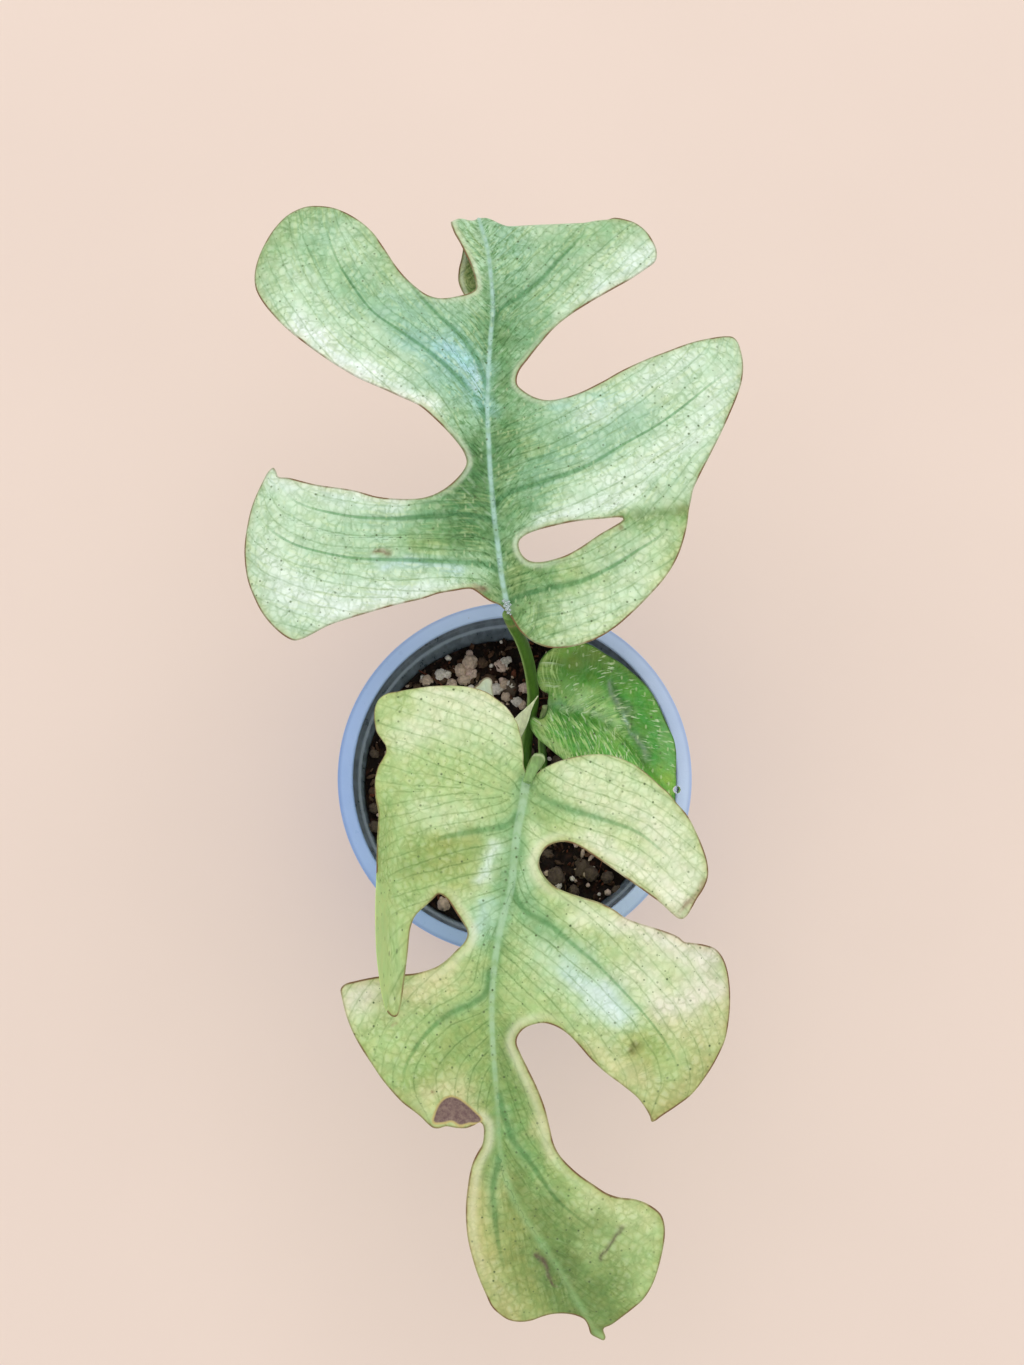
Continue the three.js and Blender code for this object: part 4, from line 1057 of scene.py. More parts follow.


# ---- What grows where on each blade, with painted highlights and painted shade among it: strokes as (colour, half width, strength, route) ----
SNOW = "#E8F8F2"
ICE = "#C3E0E6"
PALE = "#D0EACB"
SAGE = "#B9DAB2"
BLUE_GREEN = "#9BCDC4"
SEA_GREEN = "#94C3A2"
LEAF_GREEN = "#7FB07F"
DEEP_GREEN = "#6A985A"
OLIVE = "#87AB66"
FERN = "#A1C391"
BLUSH = "#F2E9DC"
GOLD = "#C8BF70"
CREAM = "#F0F3D6"
LIME_WHITE = "#D7E8BA"
LIME = "#B8D08B"
MEADOW = "#99B266"
MOSS = "#75904A"
STRAW = "#DED7A4"
KHAKI = "#BBB87A"
RUST = "#7A5138"
GRASS = "#72C44F"
IVY = "#46902C"
YELLOW_GREEN = "#A9CC52"
MINT = "#FAFFF8"

UPPER_STROKES = [
    (SEA_GREEN, 9, 0.75, [(-5, 50), (-12, 62), (-25, 74), (-36, 83), (-46, 97), (-50, 110)]),
    # Painted sheen: the bluish stroke beside the midrib.
    (BLUE_GREEN, 6, 0.85, [(-7, 63), (-15, 70), (-24, 73)]),
    (SNOW, 3.2, 0.95, [(-21, 56), (-34, 60), (-45, 67), (-57, 78)]),
    (PALE, 6, 0.8, [(-30, 67), (-45, 78), (-57, 86), (-62, 96)]),
    (FERN, 6, 0.75, [(-62, 102), (-58, 110), (-48, 114), (-40, 108), (-34, 96)]),
    (SEA_GREEN, 6, 0.7, [(-8, 78), (-18, 82), (-27, 84)]),
    (LEAF_GREEN, 6, 0.85, [(-4, 46), (-7, 56), (-7, 74), (-3, 82)]),
    (SEA_GREEN, 7, 0.8, [(3, 78), (1, 90), (1, 100), (-2, 112)]),
    (LEAF_GREEN, 4, 0.5, [(5, 74), (4, 84)]),
    (SAGE, 6, 0.8, [(-10, 104), (-12, 95)]),
    (PALE, 5, 0.8, [(16, 84), (26, 91), (34, 95), (37, 100)]),
    (SNOW, 2.5, 0.8, [(25, 89.5), (33, 94), (37, 97)]),
    (FERN, 8, 0.8, [(12, 93), (18, 103), (28, 109)]),
    (SEA_GREEN, 4, 0.5, [(10, 92), (16, 100)]),
    (LEAF_GREEN, 8, 0.9, [(1, 60), (6, 48), (8, 38), (3, 28)]),
    (SEA_GREEN, 6, 0.6, [(8, 38), (20, 44), (32, 50)]),
    (BLUE_GREEN, 4, 0.35, [(16, 52), (28, 58)]),
    (PALE, 7, 0.85, [(20, 31), (34, 38), (46, 44), (54, 56), (56, 66)]),
    (PALE, 4, 0.6, [(14, 56), (28, 62), (46, 70), (57, 74)]),
    (SEA_GREEN, 4, 0.35, [(24, 41), (36, 49)]),
    (DEEP_GREEN, 9, 0.95, [(-5, 47), (-9, 38), (-12, 28), (-10, 20)]),
    (DEEP_GREEN, 5, 0.85, [(-10, 21), (-17, 20), (-22, 21.5)]),
    (LEAF_GREEN, 4, 0.8, [(-14, 30), (-21, 27)]),
    (SEA_GREEN, 4, 0.5, [(-24, 20), (-34, 20), (-42, 21)]),
    (SNOW, 3.2, 0.75, [(-30, 28), (-40, 30), (-52, 32.5), (-60, 34)]),
    (PALE, 6, 0.85, [(-18, 9), (-32, 8), (-48, 6), (-60, 10)]),
    (SNOW, 3, 0.7, [(-14, 6.5), (-28, 4), (-44, -1)]),
    (SAGE, 5, 0.8, [(-8, 12), (-20, 13), (-34, 16), (-48, 20)]),
    (OLIVE, 5, 0.8, [(2, 2), (7, 6), (12, 9)]),
    (DEEP_GREEN, 3.4, 0.9, [(4, 10), (9, 9), (13, 10.5)]),
    (OLIVE, 3.5, 0.65, [(6, -4), (12, -6)]),
    (LIME_WHITE, 6, 0.75, [(18, -5), (28, 1), (38, 9)]),
    (PALE, 3, 0.5, [(22, -4), (34, 5)]),
    (LIME_WHITE, 5, 0.7, [(16, 14), (27, 19), (38, 22)]),
    (LIME, 4, 0.7, [(14, 9), (22, 10)]),
    # Painted shade under the crease's step.
    (OLIVE, 3.2, 0.75, [(34, 23), (40, 24), (45, 25)]),
    (LIME, 4, 0.6, [(42, 13), (45, 22)]),
    # Painted shade under the crease's step, narrow.
    (OLIVE, 1.4, 0.8, [(30, 23.2), (37, 24.4), (45, 25.2)]),
    (OLIVE, 3.2, 0.3, [(-64, 90), (-66, 99), (-62, 109), (-54, 117), (-46, 120)]),
    (PALE, 5, 0.5, [(-43, 101), (-49, 93), (-57, 88)]),
    (DEEP_GREEN, 7, 0.4, [(-2, 4), (-3, 30), (-4, 55), (-3, 88)]),
    (SNOW, 5, 0.5, [(22, 84), (32, 92), (38, 100)]),
    (PALE, 6, 0.5, [(28, 36), (44, 47), (52, 62)]),
    (PALE, 7, 0.6, [(-58, 14), (-62, 22), (-52, 26)]),
    (SNOW, 6, 0.5, [(-30, 1), (-44, 0), (-54, 4)]),
    # Painted highlight along the raised lip of the crease.
    (SNOW, 2.2, 0.7, [(8, 23.5), (16, 25.5), (26, 27.5)]),
    (DEEP_GREEN, 3.4, 0.75, [(-2.5, 78), (-2.2, 66), (-1.6, 54), (1, 46)]),
    (DEEP_GREEN, 4, 0.6, [(-5, 44), (-6, 34), (-5, 24), (-2, 16)]),
    (MOSS, 4, 0.8, [(1.5, 11), (0.5, 5), (3, 4)]),
    (OLIVE, 4, 0.8, [(-15, 18.5), (-24, 17.5)]),
    # Painted shade under the crease's step, further right.
    ("#8C9A5C", 1.5, 0.45, [(34, 24.8), (40, 25.8), (46, 26.4)]),
    ("#467A3E", 6, 0.8, [(-6, 42), (-10, 34), (-12, 26), (-12, 22)]),
    ("#5E9250", 3.4, 0.4, [(4, 3), (7, 7), (9, 9)]),
    (LIME, 3, 0.6, [(15, 7.5), (19, 9)]),
    (OLIVE, 4, 0.4, [(4, 12), (9, 9), (10, -4), (8, -6)]),
    (FERN, 6, 0.6, [(20, 16), (30, 20), (38, 24)]),
    (PALE, 4.5, 0.6, [(-44, 108), (-47, 100), (-52, 94)]),
    ("#7FB07F", 3, 0.3, [(2, 54), (8, 50), (14, 48)]),
    ("#6FA468", 2.6, 0.5, [(6, 70), (7, 76), (10, 82)]),
    (RUST, 1.2, 0.9, [(-8, 5.3), (-6, 5)]),
    (RUST, 0.6, 0.6, [(28.5, 21.7)]),
    (RUST, 0.55, 0.75, [(-34, 15.8), (-29.5, 13.8)]),
]
# Painted sheen and highlights where the waxy cuticle reflects the light, laid over the colour after the
# vein bands: strokes as above.
UPPER_PAINTED_SHEENS = [
    ("#AEDDE3", 4.8, 1.0, [(-7.5, 57), (-9.5, 65), (-15, 71)]),
    ("#A9CDA0", 3.5, 0.4, [(2, 55), (3, 58)]),
    ("#A9CFA9", 5, 0.5, [(-8, 49), (-13, 53)]),
    ("#A9CFA9", 5, 0.5, [(6, 49), (12, 52)]),
    ("#B4D6B0", 4, 0.5, [(-8, 12), (-14, 12)]),
    (ICE, 2.2, 0.8, [(-8, 60), (-9, 66)]),
    ("#8DBB84", 5, 0.5, [(-42, 90), (-48, 94), (-52, 100)]),
    ("#8FBC8A", 5, 0.45, [(12, 104), (18, 107), (26, 108)]),
    ("#F5FFFB", 3.2, 0.95, [(-22, 56), (-34, 60.5), (-45, 67.5), (-56, 78)]),
    ("#EAF8EE", 3.4, 0.5, [(24, 87), (32, 94), (38, 100)]),
    ("#F0FBF3", 4.5, 0.6, [(-24, 3), (-44, 0), (-56, 5), (-62, 14)]),
    ("#F0FBF3", 3.5, 0.5, [(26, 33), (40, 40), (52, 50), (57, 62)]),
    ("#EAF8EE", 3, 0.5, [(20, 50), (34, 60), (48, 68)]),
    ("#F0FBF3", 2.5, 0.5, [(10, 24.5), (22, 27.5), (34, 30)]),
    ("#F0FBF3", 2.5, 0.5, [(-28, 30), (-42, 32), (-56, 35)]),
    (BLUE_GREEN, 2.4, 0.45, [(12, 56), (22, 58)]),
    (ICE, 1.6, 0.6, [(-12, 12.2), (-22, 12), (-32, 11.8)]),
]
# Beads of sap on the base of the upper blade: (right, up, radius)
SAP_DROPS = [
    (-1.3, 2.7, 0.42), (-0.6, 2.1, 0.5), (0.1, 2.5, 0.32), (-1.0, 1.4, 0.4), (-0.1, 1.2, 0.48),
    (0.5, 1.7, 0.3), (-0.5, 0.5, 0.45), (0.3, 0.3, 0.36), (-0.1, -0.4, 0.38), (0.5, -0.8, 0.26),
]
LOWER_STROKES = [
    (CREAM, 4, 0.85, [(-4, 15), (-12, 20), (-24, 21)]),
    (LIME_WHITE, 7, 0.8, [(-6, 8), (-18, 12), (-30, 10)]),
    (LIME, 4, 0.8, [(-33, 18), (-38, 13)]),
    (LIME, 6, 0.8, [(-6, -5), (-16, -2), (-30, -2)]),
    (LIME, 4, 0.6, [(-6, -13), (-9, -18)]),
    (LIME_WHITE, 5, 0.8, [(-14, -13), (-26, -12)]),
    (SAGE, 4, 0.8, [(-8, -21), (-13, -22)]),
    (MEADOW, 5.5, 0.9, [(-16, -22), (-22, -24), (-28, -24)]),
    (LIME_WHITE, 4, 0.6, [(-12, -33), (-18, -31)]),
    (SAGE, 4, 0.8, [(-10, -39), (-12, -42)]),
    (MEADOW, 3.5, 0.7, [(-7, -44), (-8, -52), (-9, -62)]),
    (LIME, 7, 0.7, [(-16, -52), (-26, -58)]),
    (CREAM, 4, 0.55, [(-30, -53), (-42, -56), (-44, -62)]),
    (STRAW, 4, 0.55, [(-26, -54), (-38, -58)]),
    (MEADOW, 8, 0.85, [(-18, -66), (-20, -74), (-28, -80)]),
    (LIME, 4, 0.6, [(-34, -70), (-37, -66), (-40, -62)]),
    (MEADOW, 8, 0.9, [(-10, -66), (-9, -78), (-8, -90)]),
    (MOSS, 3.5, 0.7, [(-5, -68), (-4, -80), (-6, -92)]),
    (KHAKI, 3.5, 0.8, [(-1, -82), (2, -89)]),
    (STRAW, 3, 0.75, [(3, -91), (6, -97)]),
    (STRAW, 4.5, 0.9, [(-13, -105), (-14, -114), (-12.5, -125)]),
    (KHAKI, 4.5, 0.85, [(-9, -131), (-6, -137), (0, -139)]),
    (MOSS, 5, 0.9, [(-3, -104), (-2, -112), (-3, -122), (1, -130)]),
    (MEADOW, 4, 0.8, [(3, -101), (8, -104)]),
    (LIME, 5, 0.85, [(14, -109), (24, -113), (32, -117)]),
    (MOSS, 6, 0.95, [(6, -114), (10, -122), (11, -132), (20, -140)]),
    (LIME, 4.5, 0.8, [(20, -120), (29, -124), (28, -131)]),
    (MEADOW, 4, 0.8, [(16, -137), (22, -138), (3, -138)]),
    (LIME_WHITE, 6, 0.85, [(10, 1), (20, 1), (32, -5)]),
    (CREAM, 5, 0.6, [(14, -8), (26, -12), (38, -14)]),
    (CREAM, 5, 0.95, [(16, -19), (28, -26), (38, -33)]),
    (LIME_WHITE, 4, 0.7, [(40, -16), (45, -24)]),
    (OLIVE, 4, 0.75, [(2, -5), (5, -10)]),
    (LIME_WHITE, 3.5, 0.8, [(2, -16), (3, -22)]),
    (SAGE, 4, 0.8, [(-1, -26), (-2, -31)]),
    (LIME, 4, 0.85, [(-1, -36), (6, -34)]),
    (CREAM, 4, 0.75, [(13, -36), (24, -41), (36, -45), (46, -49)]),
    (PALE, 6, 0.75, [(4, -48), (14, -54), (22, -61)]),
    # Painted highlight on the right lobe.
    (SNOW, 3.4, 0.6, [(16, -58), (23, -63)]),
    (CREAM, 6, 0.85, [(28, -52), (37, -59), (46, -56)]),
    (LIME, 5, 0.8, [(-2, -52), (-2, -60)]),
    (STRAW, 5, 0.6, [(36, -66), (44, -68), (50, -64)]),
    (KHAKI, 5, 0.8, [(46, -76), (40, -82), (33, -87)]),
    (MEADOW, 3.5, 0.9, [(27, -73), (31, -71)]),
    (STRAW, 4, 0.65, [(17, -71), (24, -75), (28, -80)]),
    (MOSS, 6, 0.6, [(-5, -94), (-3, -106), (1, -116), (7, -128), (13, -139)]),
    (CREAM, 6, 0.35, [(12, -1), (24, -8), (36, -18), (42, -28)]),
    (CREAM, 5, 0.5, [(-8, 14), (-22, 16), (-34, 8)]),
    (BLUSH, 5, 0.8, [(26, -38), (38, -41), (47, -45)]),
    (BLUSH, 4, 0.6, [(36, -60), (44, -58), (50, -56)]),
    (BLUSH, 5, 0.75, [(-39, -54), (-45, -59)]),
    (STRAW, 5, 0.6, [(-22, -53), (-32, -56)]),
    (STRAW, 4, 0.8, [(-13, -85), (-20, -80), (-25, -84)]),
    ("#BDBB74", 4.5, 0.8, [(-10, -102), (-11, -112), (-10, -124)]),
    ("#99A45A", 4, 0.8, [(-4, -112), (-4, -121), (0, -132), (4, -138)]),
    (GOLD, 2.6, 0.4, [(27, -69), (30, -74)]),
    ("#7C9C50", 4.5, 0.85, [(-8, -84), (-8, -99)]),
    ("#66803F", 5, 0.8, [(8, -127), (10, -134), (15, -138)]),
    ("#B4D8B4", 4, 0.95, [(-10, -36), (-10.5, -41)]),
    ("#86AC66", 3, 0.7, [(-8, -45), (-8, -51)]),
    ("#BDBB80", 3.5, 0.5, [(27, -77), (31, -79)]),
    ("#A0AF60", 5, 0.75, [(-16, -20), (-23, -21.5)]),
    ("#A6B766", 4, 0.5, [(-12, -27), (-20, -29)]),
    (LEAF_GREEN, 3.2, 0.7, [(-1.5, -4), (-3.5, -12), (-5, -22), (-6.5, -32), (-8, -42)]),
    (LEAF_GREEN, 4, 0.75, [(-1, -33), (1, -38), (5, -42)]),
    ("#7FA65A", 4, 0.8, [(-3, -84), (-1.5, -92), (1, -100)]),
    (MOSS, 6, 0.7, [(16, -116), (21, -123), (22, -132)]),
    (MOSS, 5, 0.8, [(10, -136), (17, -136), (19, -143)]),
    (RUST, 0.6, 0.7, [(-23.5, -82.8)]),
    (RUST, 0.5, 0.6, [(-34, -63.5)]),
    ("#6F7038", 0.9, 0.85, [(27.2, -71.5), (28.2, -72)]),
    (RUST, 0.9, 0.6, [(40, -37), (43, -33), (45.5, -30)]),
    ("#CFD89E", 4.5, 0.75, [(17, -109), (24, -111.5), (31, -115)]),
    ("#AFC483", 4, 0.6, [(16, -121), (24, -122), (27, -120)]),
    ("#5E4A3C", 0.75, 0.95, [(3.6, -123.8), (4.6, -126.2), (5.8, -128.6)]),
    ("#5E4A3C", 0.45, 0.95, [(5.8, -128.6), (6.8, -130.4), (7.8, -132)]),
    ("#67604A", 0.7, 0.8, [(19, -124.8), (20.2, -121.5), (22, -118), (24, -116)]),
    (MEADOW, 1.0, 0.6, [(24.5, -117)]),
    (LIME, 5, 0.9, [(-38, 2), (-42, -14), (-44, -30), (-42, -42), (-34, -50)]),
]
# Painted sheen and highlights on the lower blade, laid on last like those above.
LOWER_PAINTED_SHEENS = [
    (SNOW, 2.2, 0.75, [(-10.5, -19.5), (-11.5, -26)]),
    (ICE, 1.7, 0.55, [(-11.5, -34), (-12.5, -41)]),
    ("#B9DDBB", 3.5, 0.55, [(-10, -36), (-10.5, -41)]),
    (ICE, 4, 0.5, [(12, -50), (18, -56), (24, -61)]),
    (SNOW, 2.4, 0.6, [(15, -55), (22, -61)]),
    ("#F3F5E6", 5, 0.45, [(34, -18), (42, -29)]),
    ("#F6F1E8", 5, 0.5, [(36, -42), (47, -46)]),
]
SMALL_STROKES = [
    (LIME, 2.6, 0.85, [(-1.5, 6), (-0.5, 12), (2, 15.5)]),
    (LIME, 1.6, 0.5, [(2, 8), (4, 13)]),
    (MOSS, 4, 0.7, [(10, 13), (16, 12), (22, 8)]),
    (IVY, 3.5, 0.6, [(5, 6), (9, 9), (14, 9), (18, 8)]),
    (LIME, 2.0, 0.6, [(7, 2.5), (11, 4), (16, 3.5), (18, 1)]),
    (YELLOW_GREEN, 3.2, 0.8, [(14, -1.5), (18, -4), (20, -7)]),
    (SEA_GREEN, 2, 0.6, [(0, 2), (4, 0.5), (6, -1)]),
    (LIME, 2.2, 0.85, [(-3.5, -5), (-1.5, -9), (2, -13), (5, -16)]),
    (IVY, 3, 0.5, [(5, -5), (9, -10), (13, -16)]),
    # Painted highlight along the midrib.
    (LIME_WHITE, 0.7, 0.8, [(4, -1.2), (8, -2.2), (14, -4.2), (19, -7.4)]),
    (LIME_WHITE, 1.2, 0.8, [(-2, 3.5), (-1.6, 0), (-1.4, -2.5)]),
    # Painted sheen near the joint.
    (BLUE_GREEN, 1.6, 0.7, [(1.5, 0), (4, 1.5), (5, 0)]),
    # Grey band along the crease: a painted sheen on the fold.
    ("#7E957F", 1.3, 0.95, [(19, 6), (20.5, 3), (22.6, -1), (24, -6), (25.5, -11), (27.5, -17)]),
    (IVY, 6, 0.6, [(25, 5), (29, -3), (30, -12)]),
    (SEA_GREEN, 3, 0.4, [(33, -6), (34.5, -12), (34, -17)]),
    (YELLOW_GREEN, 2.6, 0.7, [(35, -19), (36, -24), (35, -27)]),
    # Painted highlights on the crease, here and in the next stroke.
    (ICE, 0.6, 0.85, [(22.9, -2.5), (24, -6.5)]),
    ("#B9CCC0", 0.7, 0.6, [(24.6, -8), (26.2, -13), (28, -18)]),
    # Painted shade along the crease's step.
    ("#3C6B3A", 0.9, 0.7, [(20.6, 6.5), (22.2, 3), (24.4, -1), (25.8, -6), (27.4, -11), (29.2, -17)]),
    ("#C4EAAA", 3.4, 0.95, [(10, 0.5), (16, -2.5), (20, -5)]),
    ("#A2CC7C", 3, 0.6, [(3, 8), (5, 5)]),
    ("#74853F", 2.4, 0.6, [(4, 12), (9, 13.5), (15, 12.5)]),
    ("#A9C468", 3.4, 0.55, [(1, 5), (1.5, 11), (5, 14)]),
    # Painted highlights along the midrib, here and in the feather strokes below.
    ("#C6E3B0", 0.9, 0.55, [(4, -0.8), (10, -2.2), (17, -5.6)]),
    *[("#E6F3D4", 0.4, 0.85, [(4 + 1.8 * i, -1.0 - 0.8 * i), (5.6 + 1.8 * i, 0.5 - 0.8 * i)])
      for i in range(8)],
    ("#4E8A30", 4, 0.7, [(8, 10), (14, 9), (22, 9)]),
    ("#3F8F2C", 4, 0.4, [(26, -2), (30, -10), (31, -18)]),
    # Painted highlight on the pale joint at the base.
    (MINT, 0.9, 0.8, [(0.1, 2.0), (0.3, 0.2), (0.1, -1.4)]),
    ("#6E8A3C", 3.4, 0.5, [(6, 14), (12, 15), (17, 14)]),
    # Painted highlight along the midrib.
    ("#DCF1CE", 1.2, 0.75, [(4, -0.8), (9, -1.8), (14, -4.2), (17, -5.8)]),
    # Grey band along the crease again: painted sheen.
    ("#849B86", 1.0, 0.95, [(19, 6), (20.5, 3), (22.6, -1), (24, -6), (25.5, -11), (27.5, -17)]),
    # Painted highlight on the crease.
    (ICE, 0.5, 0.85, [(22.6, -1.5), (23.6, -4), (24.4, -8)]),
    (IVY, 0.8, 0.8, [(37, -26.8)]),
]
YOUNG_STROKES = [
    (SNOW, 2, 0.6, [(-4, 3), (-5.5, 7)]),
]


# ---- Leaf materials ----
def attribute(tree, name, out="Vector"):
    """What a mesh holds under that name at each of its points."""
    return put(tree, "Attribute", attribute_name=name, out=out)


def axes_of(tree, vector):
    """The three numbers held in a vector."""
    return put(tree, "SeparateXYZ", [vector]).node.outputs[:]


def stained(tree, share, colour, stain):
    """The colour multiplied by a stain where share is 1."""
    return put(tree, "Mix", {0: share, 6: colour, 7: stain}, out=2, **STAINED)


def laid(tree, share, colour, cover):
    """The colour covered by another where share is 1."""
    return put(tree, "Mix", {0: share, 6: colour, 7: cover}, out=2, **MIXED)


def times(tree, first, second):
    """The product of two numbers."""
    return put(tree, "Math", [first, second], **TIMES)


def eased(tree, value, low, high, to_low=0.0, to_high=1.0):
    """A value carried from one range to another with soft ends."""
    return put(tree, "MapRange", [value, low, high, to_low, to_high], **EASED)


def rotated(tree, first, second, degrees, across, along):
    """Coordinates turned by an angle, scaled across and along the strokes that they will carry."""
    sine, cosine = math.sin(math.radians(degrees)), math.cos(math.radians(degrees))
    parts = []
    for share, other, scale in ((sine, -cosine, across), (cosine, sine, along)):
        pair = [times(tree, first, share * scale), times(tree, second, other * scale)]
        parts.append(put(tree, "Math", pair, operation="ADD"))
    return put(tree, "CombineXYZ", parts)


@dataclass
class LeafLook:
    """How one face of a blade looks. Shares run from 0, for none, to 1."""

    under: bool = False           # the duller underside
    gloss: float = 0.36           # roughness where the cuticle is smoothest
    net: float = 1.0              # share of the finest net of veins
    hatch: float = 1.0            # share of the dark strokes beside the midrib
    comb: float = 0.25            # share of the pale streaks between side veins,
    comb_low: float = 0.15        # what stays of them where they are rarest,
    comb_scale: float = 1.1       # how many of them there are to a millimetre
    comb_colour: str = "#D3E6A4"
    sided: bool = False           # streaks only where the blade is marked as deep green
    glints: float = 0.0           # share of the painted glints, bright strokes along the midrib
    flecks: float = 0.0           # share of the pale flecks
    lines: float = 0.85           # share of the side veins
    side_veins: float = 1.0       # share of the laterals
    rib_share: float = 0.6        # share of the midrib's own colour,
    rib_width: float = 0.5        # its width against the raised midrib,
    rib_until: float = 0.0        # and the length in millimetres after which it fades, or 0
    rib_colour: str = ""
    rim_colour: str = "#E4F1DC"
    margin_colour: str = ""


class LeafTissue:
    """A leaf material in the making: its nodes, what the mesh tells it and its colour so far."""

    def __init__(self, name, settings, look):
        # The cuticle is smooth, so it takes a soft sheen that breaks up over the veins.
        self.material, self.tree, self.shader = new_material(name, IOR=1.42, Specular_IOR_Level=0.4)
        self.settings, self.look, tree = settings, look, self.tree
        self.colour = attribute(tree, "tone", "Color")
        self.flat = attribute(tree, "flat_mm")
        self.rib, self.lateral, self.vein = axes_of(tree, attribute(tree, "veins"))
        self.rib_half, self.lateral_fade, self.strength = axes_of(tree, attribute(tree, "vein_size"))
        self.away, self.apart, _ = axes_of(tree, attribute(tree, "nearby"))
        self.edge, self.deep, self.along = axes_of(tree, attribute(tree, "places"))
        self.rim, self.scorch, self.rib_along = axes_of(tree, attribute(tree, "extras"))
        self.side = put(tree, "Math", [self.rib], operation="ABSOLUTE")
        # Short strokes leave the midrib forwards, the way its finest side veins do.
        self.strokes = rotated(tree, self.side, self.rib_along, 48, 1.5, 0.32)
        self.grain = put(tree, "TexNoise", Vector=self.flat, Scale=0.22, Detail=7.0, Roughness=0.7)
        self.broad = put(tree, "TexNoise", Vector=self.flat, Scale=0.13, Detail=2.0)
        self.faint = put(tree, "TexNoise", Vector=self.flat, Scale=0.2, Detail=2.0)
        bend = put(tree, "TexNoise", Vector=self.flat, Scale=0.6, Detail=3.0, out=1)
        self.wander = put(tree, "VectorMath", [bend, (1.6, 1.6, 0.0)], **TIMES)

    def stain(self, share, stain):
        """Multiplies the colour so far where share is 1."""
        self.colour = stained(self.tree, share, self.colour, stain)

    def cover(self, share, cover):
        """Covers the colour so far where share is 1."""
        self.colour = laid(self.tree, share, self.colour, cover)


def mottled(leaf):
    """Uneven pigment: lightness and hue drift over the blade."""
    tree = leaf.tree
    drift = put(tree, "TexNoise", Vector=leaf.flat, Scale=0.31, Detail=4.0)
    hue = eased(tree, drift, 0.3, 0.7, 0.486, 0.512)
    value = eased(tree, leaf.grain, 0.3, 0.7, 0.92, 1.07)
    leaf.colour = put(tree, "HueSaturation", Hue=hue, Value=value, Color=leaf.colour)


def hatched(leaf):
    """Dark and pale strokes and dark islands of pigment beside the midrib. Returns the dark strokes."""
    tree, hatch = leaf.tree, leaf.look.hatch
    dark = put(tree, "TexNoise", Vector=leaf.strokes, Scale=1.0, Detail=4.0, Roughness=0.65)
    light = put(tree, "TexNoise", Vector=leaf.strokes, Scale=0.8, Detail=4.0, W=3.0,
                noise_dimensions="4D")
    near_rib = times(tree, times(tree, leaf.deep, hatch), eased(tree, leaf.grain, 0.4, 0.6, 0.35, 1.0))
    leaf.stain(times(tree, eased(tree, dark, 0.5, 0.62), near_rib), "#8AB382")
    island = put(tree, "TexNoise", Vector=leaf.flat, Scale=0.42, Detail=5.0, Roughness=0.6)
    islands = times(tree, eased(tree, island, 0.5, 0.6), times(tree, leaf.deep, 0.55 * hatch))
    leaf.stain(islands, "#A0C48F")
    leaf.cover(times(tree, times(tree, eased(tree, light, 0.55, 0.68), near_rib), 0.4), "#C9E3C4")
    return dark


def combed(leaf):
    """Variegation in combed streaks between the side veins, and painted glints: bright strokes along the
    midrib.
    """
    tree, look = leaf.tree, leaf.look
    beside_veins = put(tree, "CombineXYZ", [leaf.lateral, times(tree, leaf.along, 0.09), 0.0])
    streak = put(tree, "TexNoise", Vector=beside_veins, Scale=look.comb_scale, Detail=3.0,
                 Roughness=0.6)
    combing = times(tree, times(tree, leaf.apart, look.comb), eased(tree, leaf.along, 0.0, 4.0))
    combing = times(tree, combing, leaf.deep if look.sided else 1.0)
    leaf.stain(times(tree, eased(tree, streak, 0.3, 0.46, 0.6, 0.0), combing), "#86B878")
    pale = times(tree, eased(tree, streak, 0.48, 0.6), combing)
    patchy = eased(tree, leaf.broad, 0.38, 0.6, look.comb_low, 1.0)
    leaf.cover(times(tree, pale, patchy), look.comb_colour)
    # Painted highlights: the glints.
    if look.glints:
        shine = put(tree, "TexNoise", Vector=leaf.strokes, Scale=1.1, Detail=2.0, W=7.0,
                    noise_dimensions="4D")
        gathered = times(tree, eased(tree, leaf.broad, 0.4, 0.58), look.glints)
        leaf.cover(times(tree, eased(tree, shine, 0.58, 0.66), gathered), "#D9EEC6")


def netted(leaf):
    """Pale cells and the finest veins round them, the latter returned.

    Those veins are thinner than a twentieth of a millimetre on the plant and are drawn coarser here.
    """
    tree, net = leaf.tree, leaf.look.net
    bent = put(tree, "VectorMath", [leaf.wander, leaf.flat], operation="ADD")
    cell = leaf.settings.net_cell / MM
    rift = put(tree, "TexVoronoi", Vector=bent, Scale=1 / cell, feature="DISTANCE_TO_EDGE")
    rift = times(tree, rift, cell)
    showing = times(tree, eased(tree, leaf.broad, 0.35, 0.6, 0.55, 1.0),
                    eased(tree, leaf.apart, 0.02, 0.4))
    showing = times(tree, showing, eased(tree, leaf.side, 0.3, 1.2))
    netting = times(tree, line_mask(tree, rift, 0.02, 0.38), showing)
    middles = times(tree, eased(tree, rift, 0.3, 0.75), showing)
    leaf.cover(times(tree, middles, eased(tree, leaf.deep, 0.1, 0.8, 0.15 * net, 0.04 * net)), "#F0F8E2")
    leaf.stain(times(tree, netting, 0.36 * net), tuple(leaf.settings.vein_tint))
    return netting


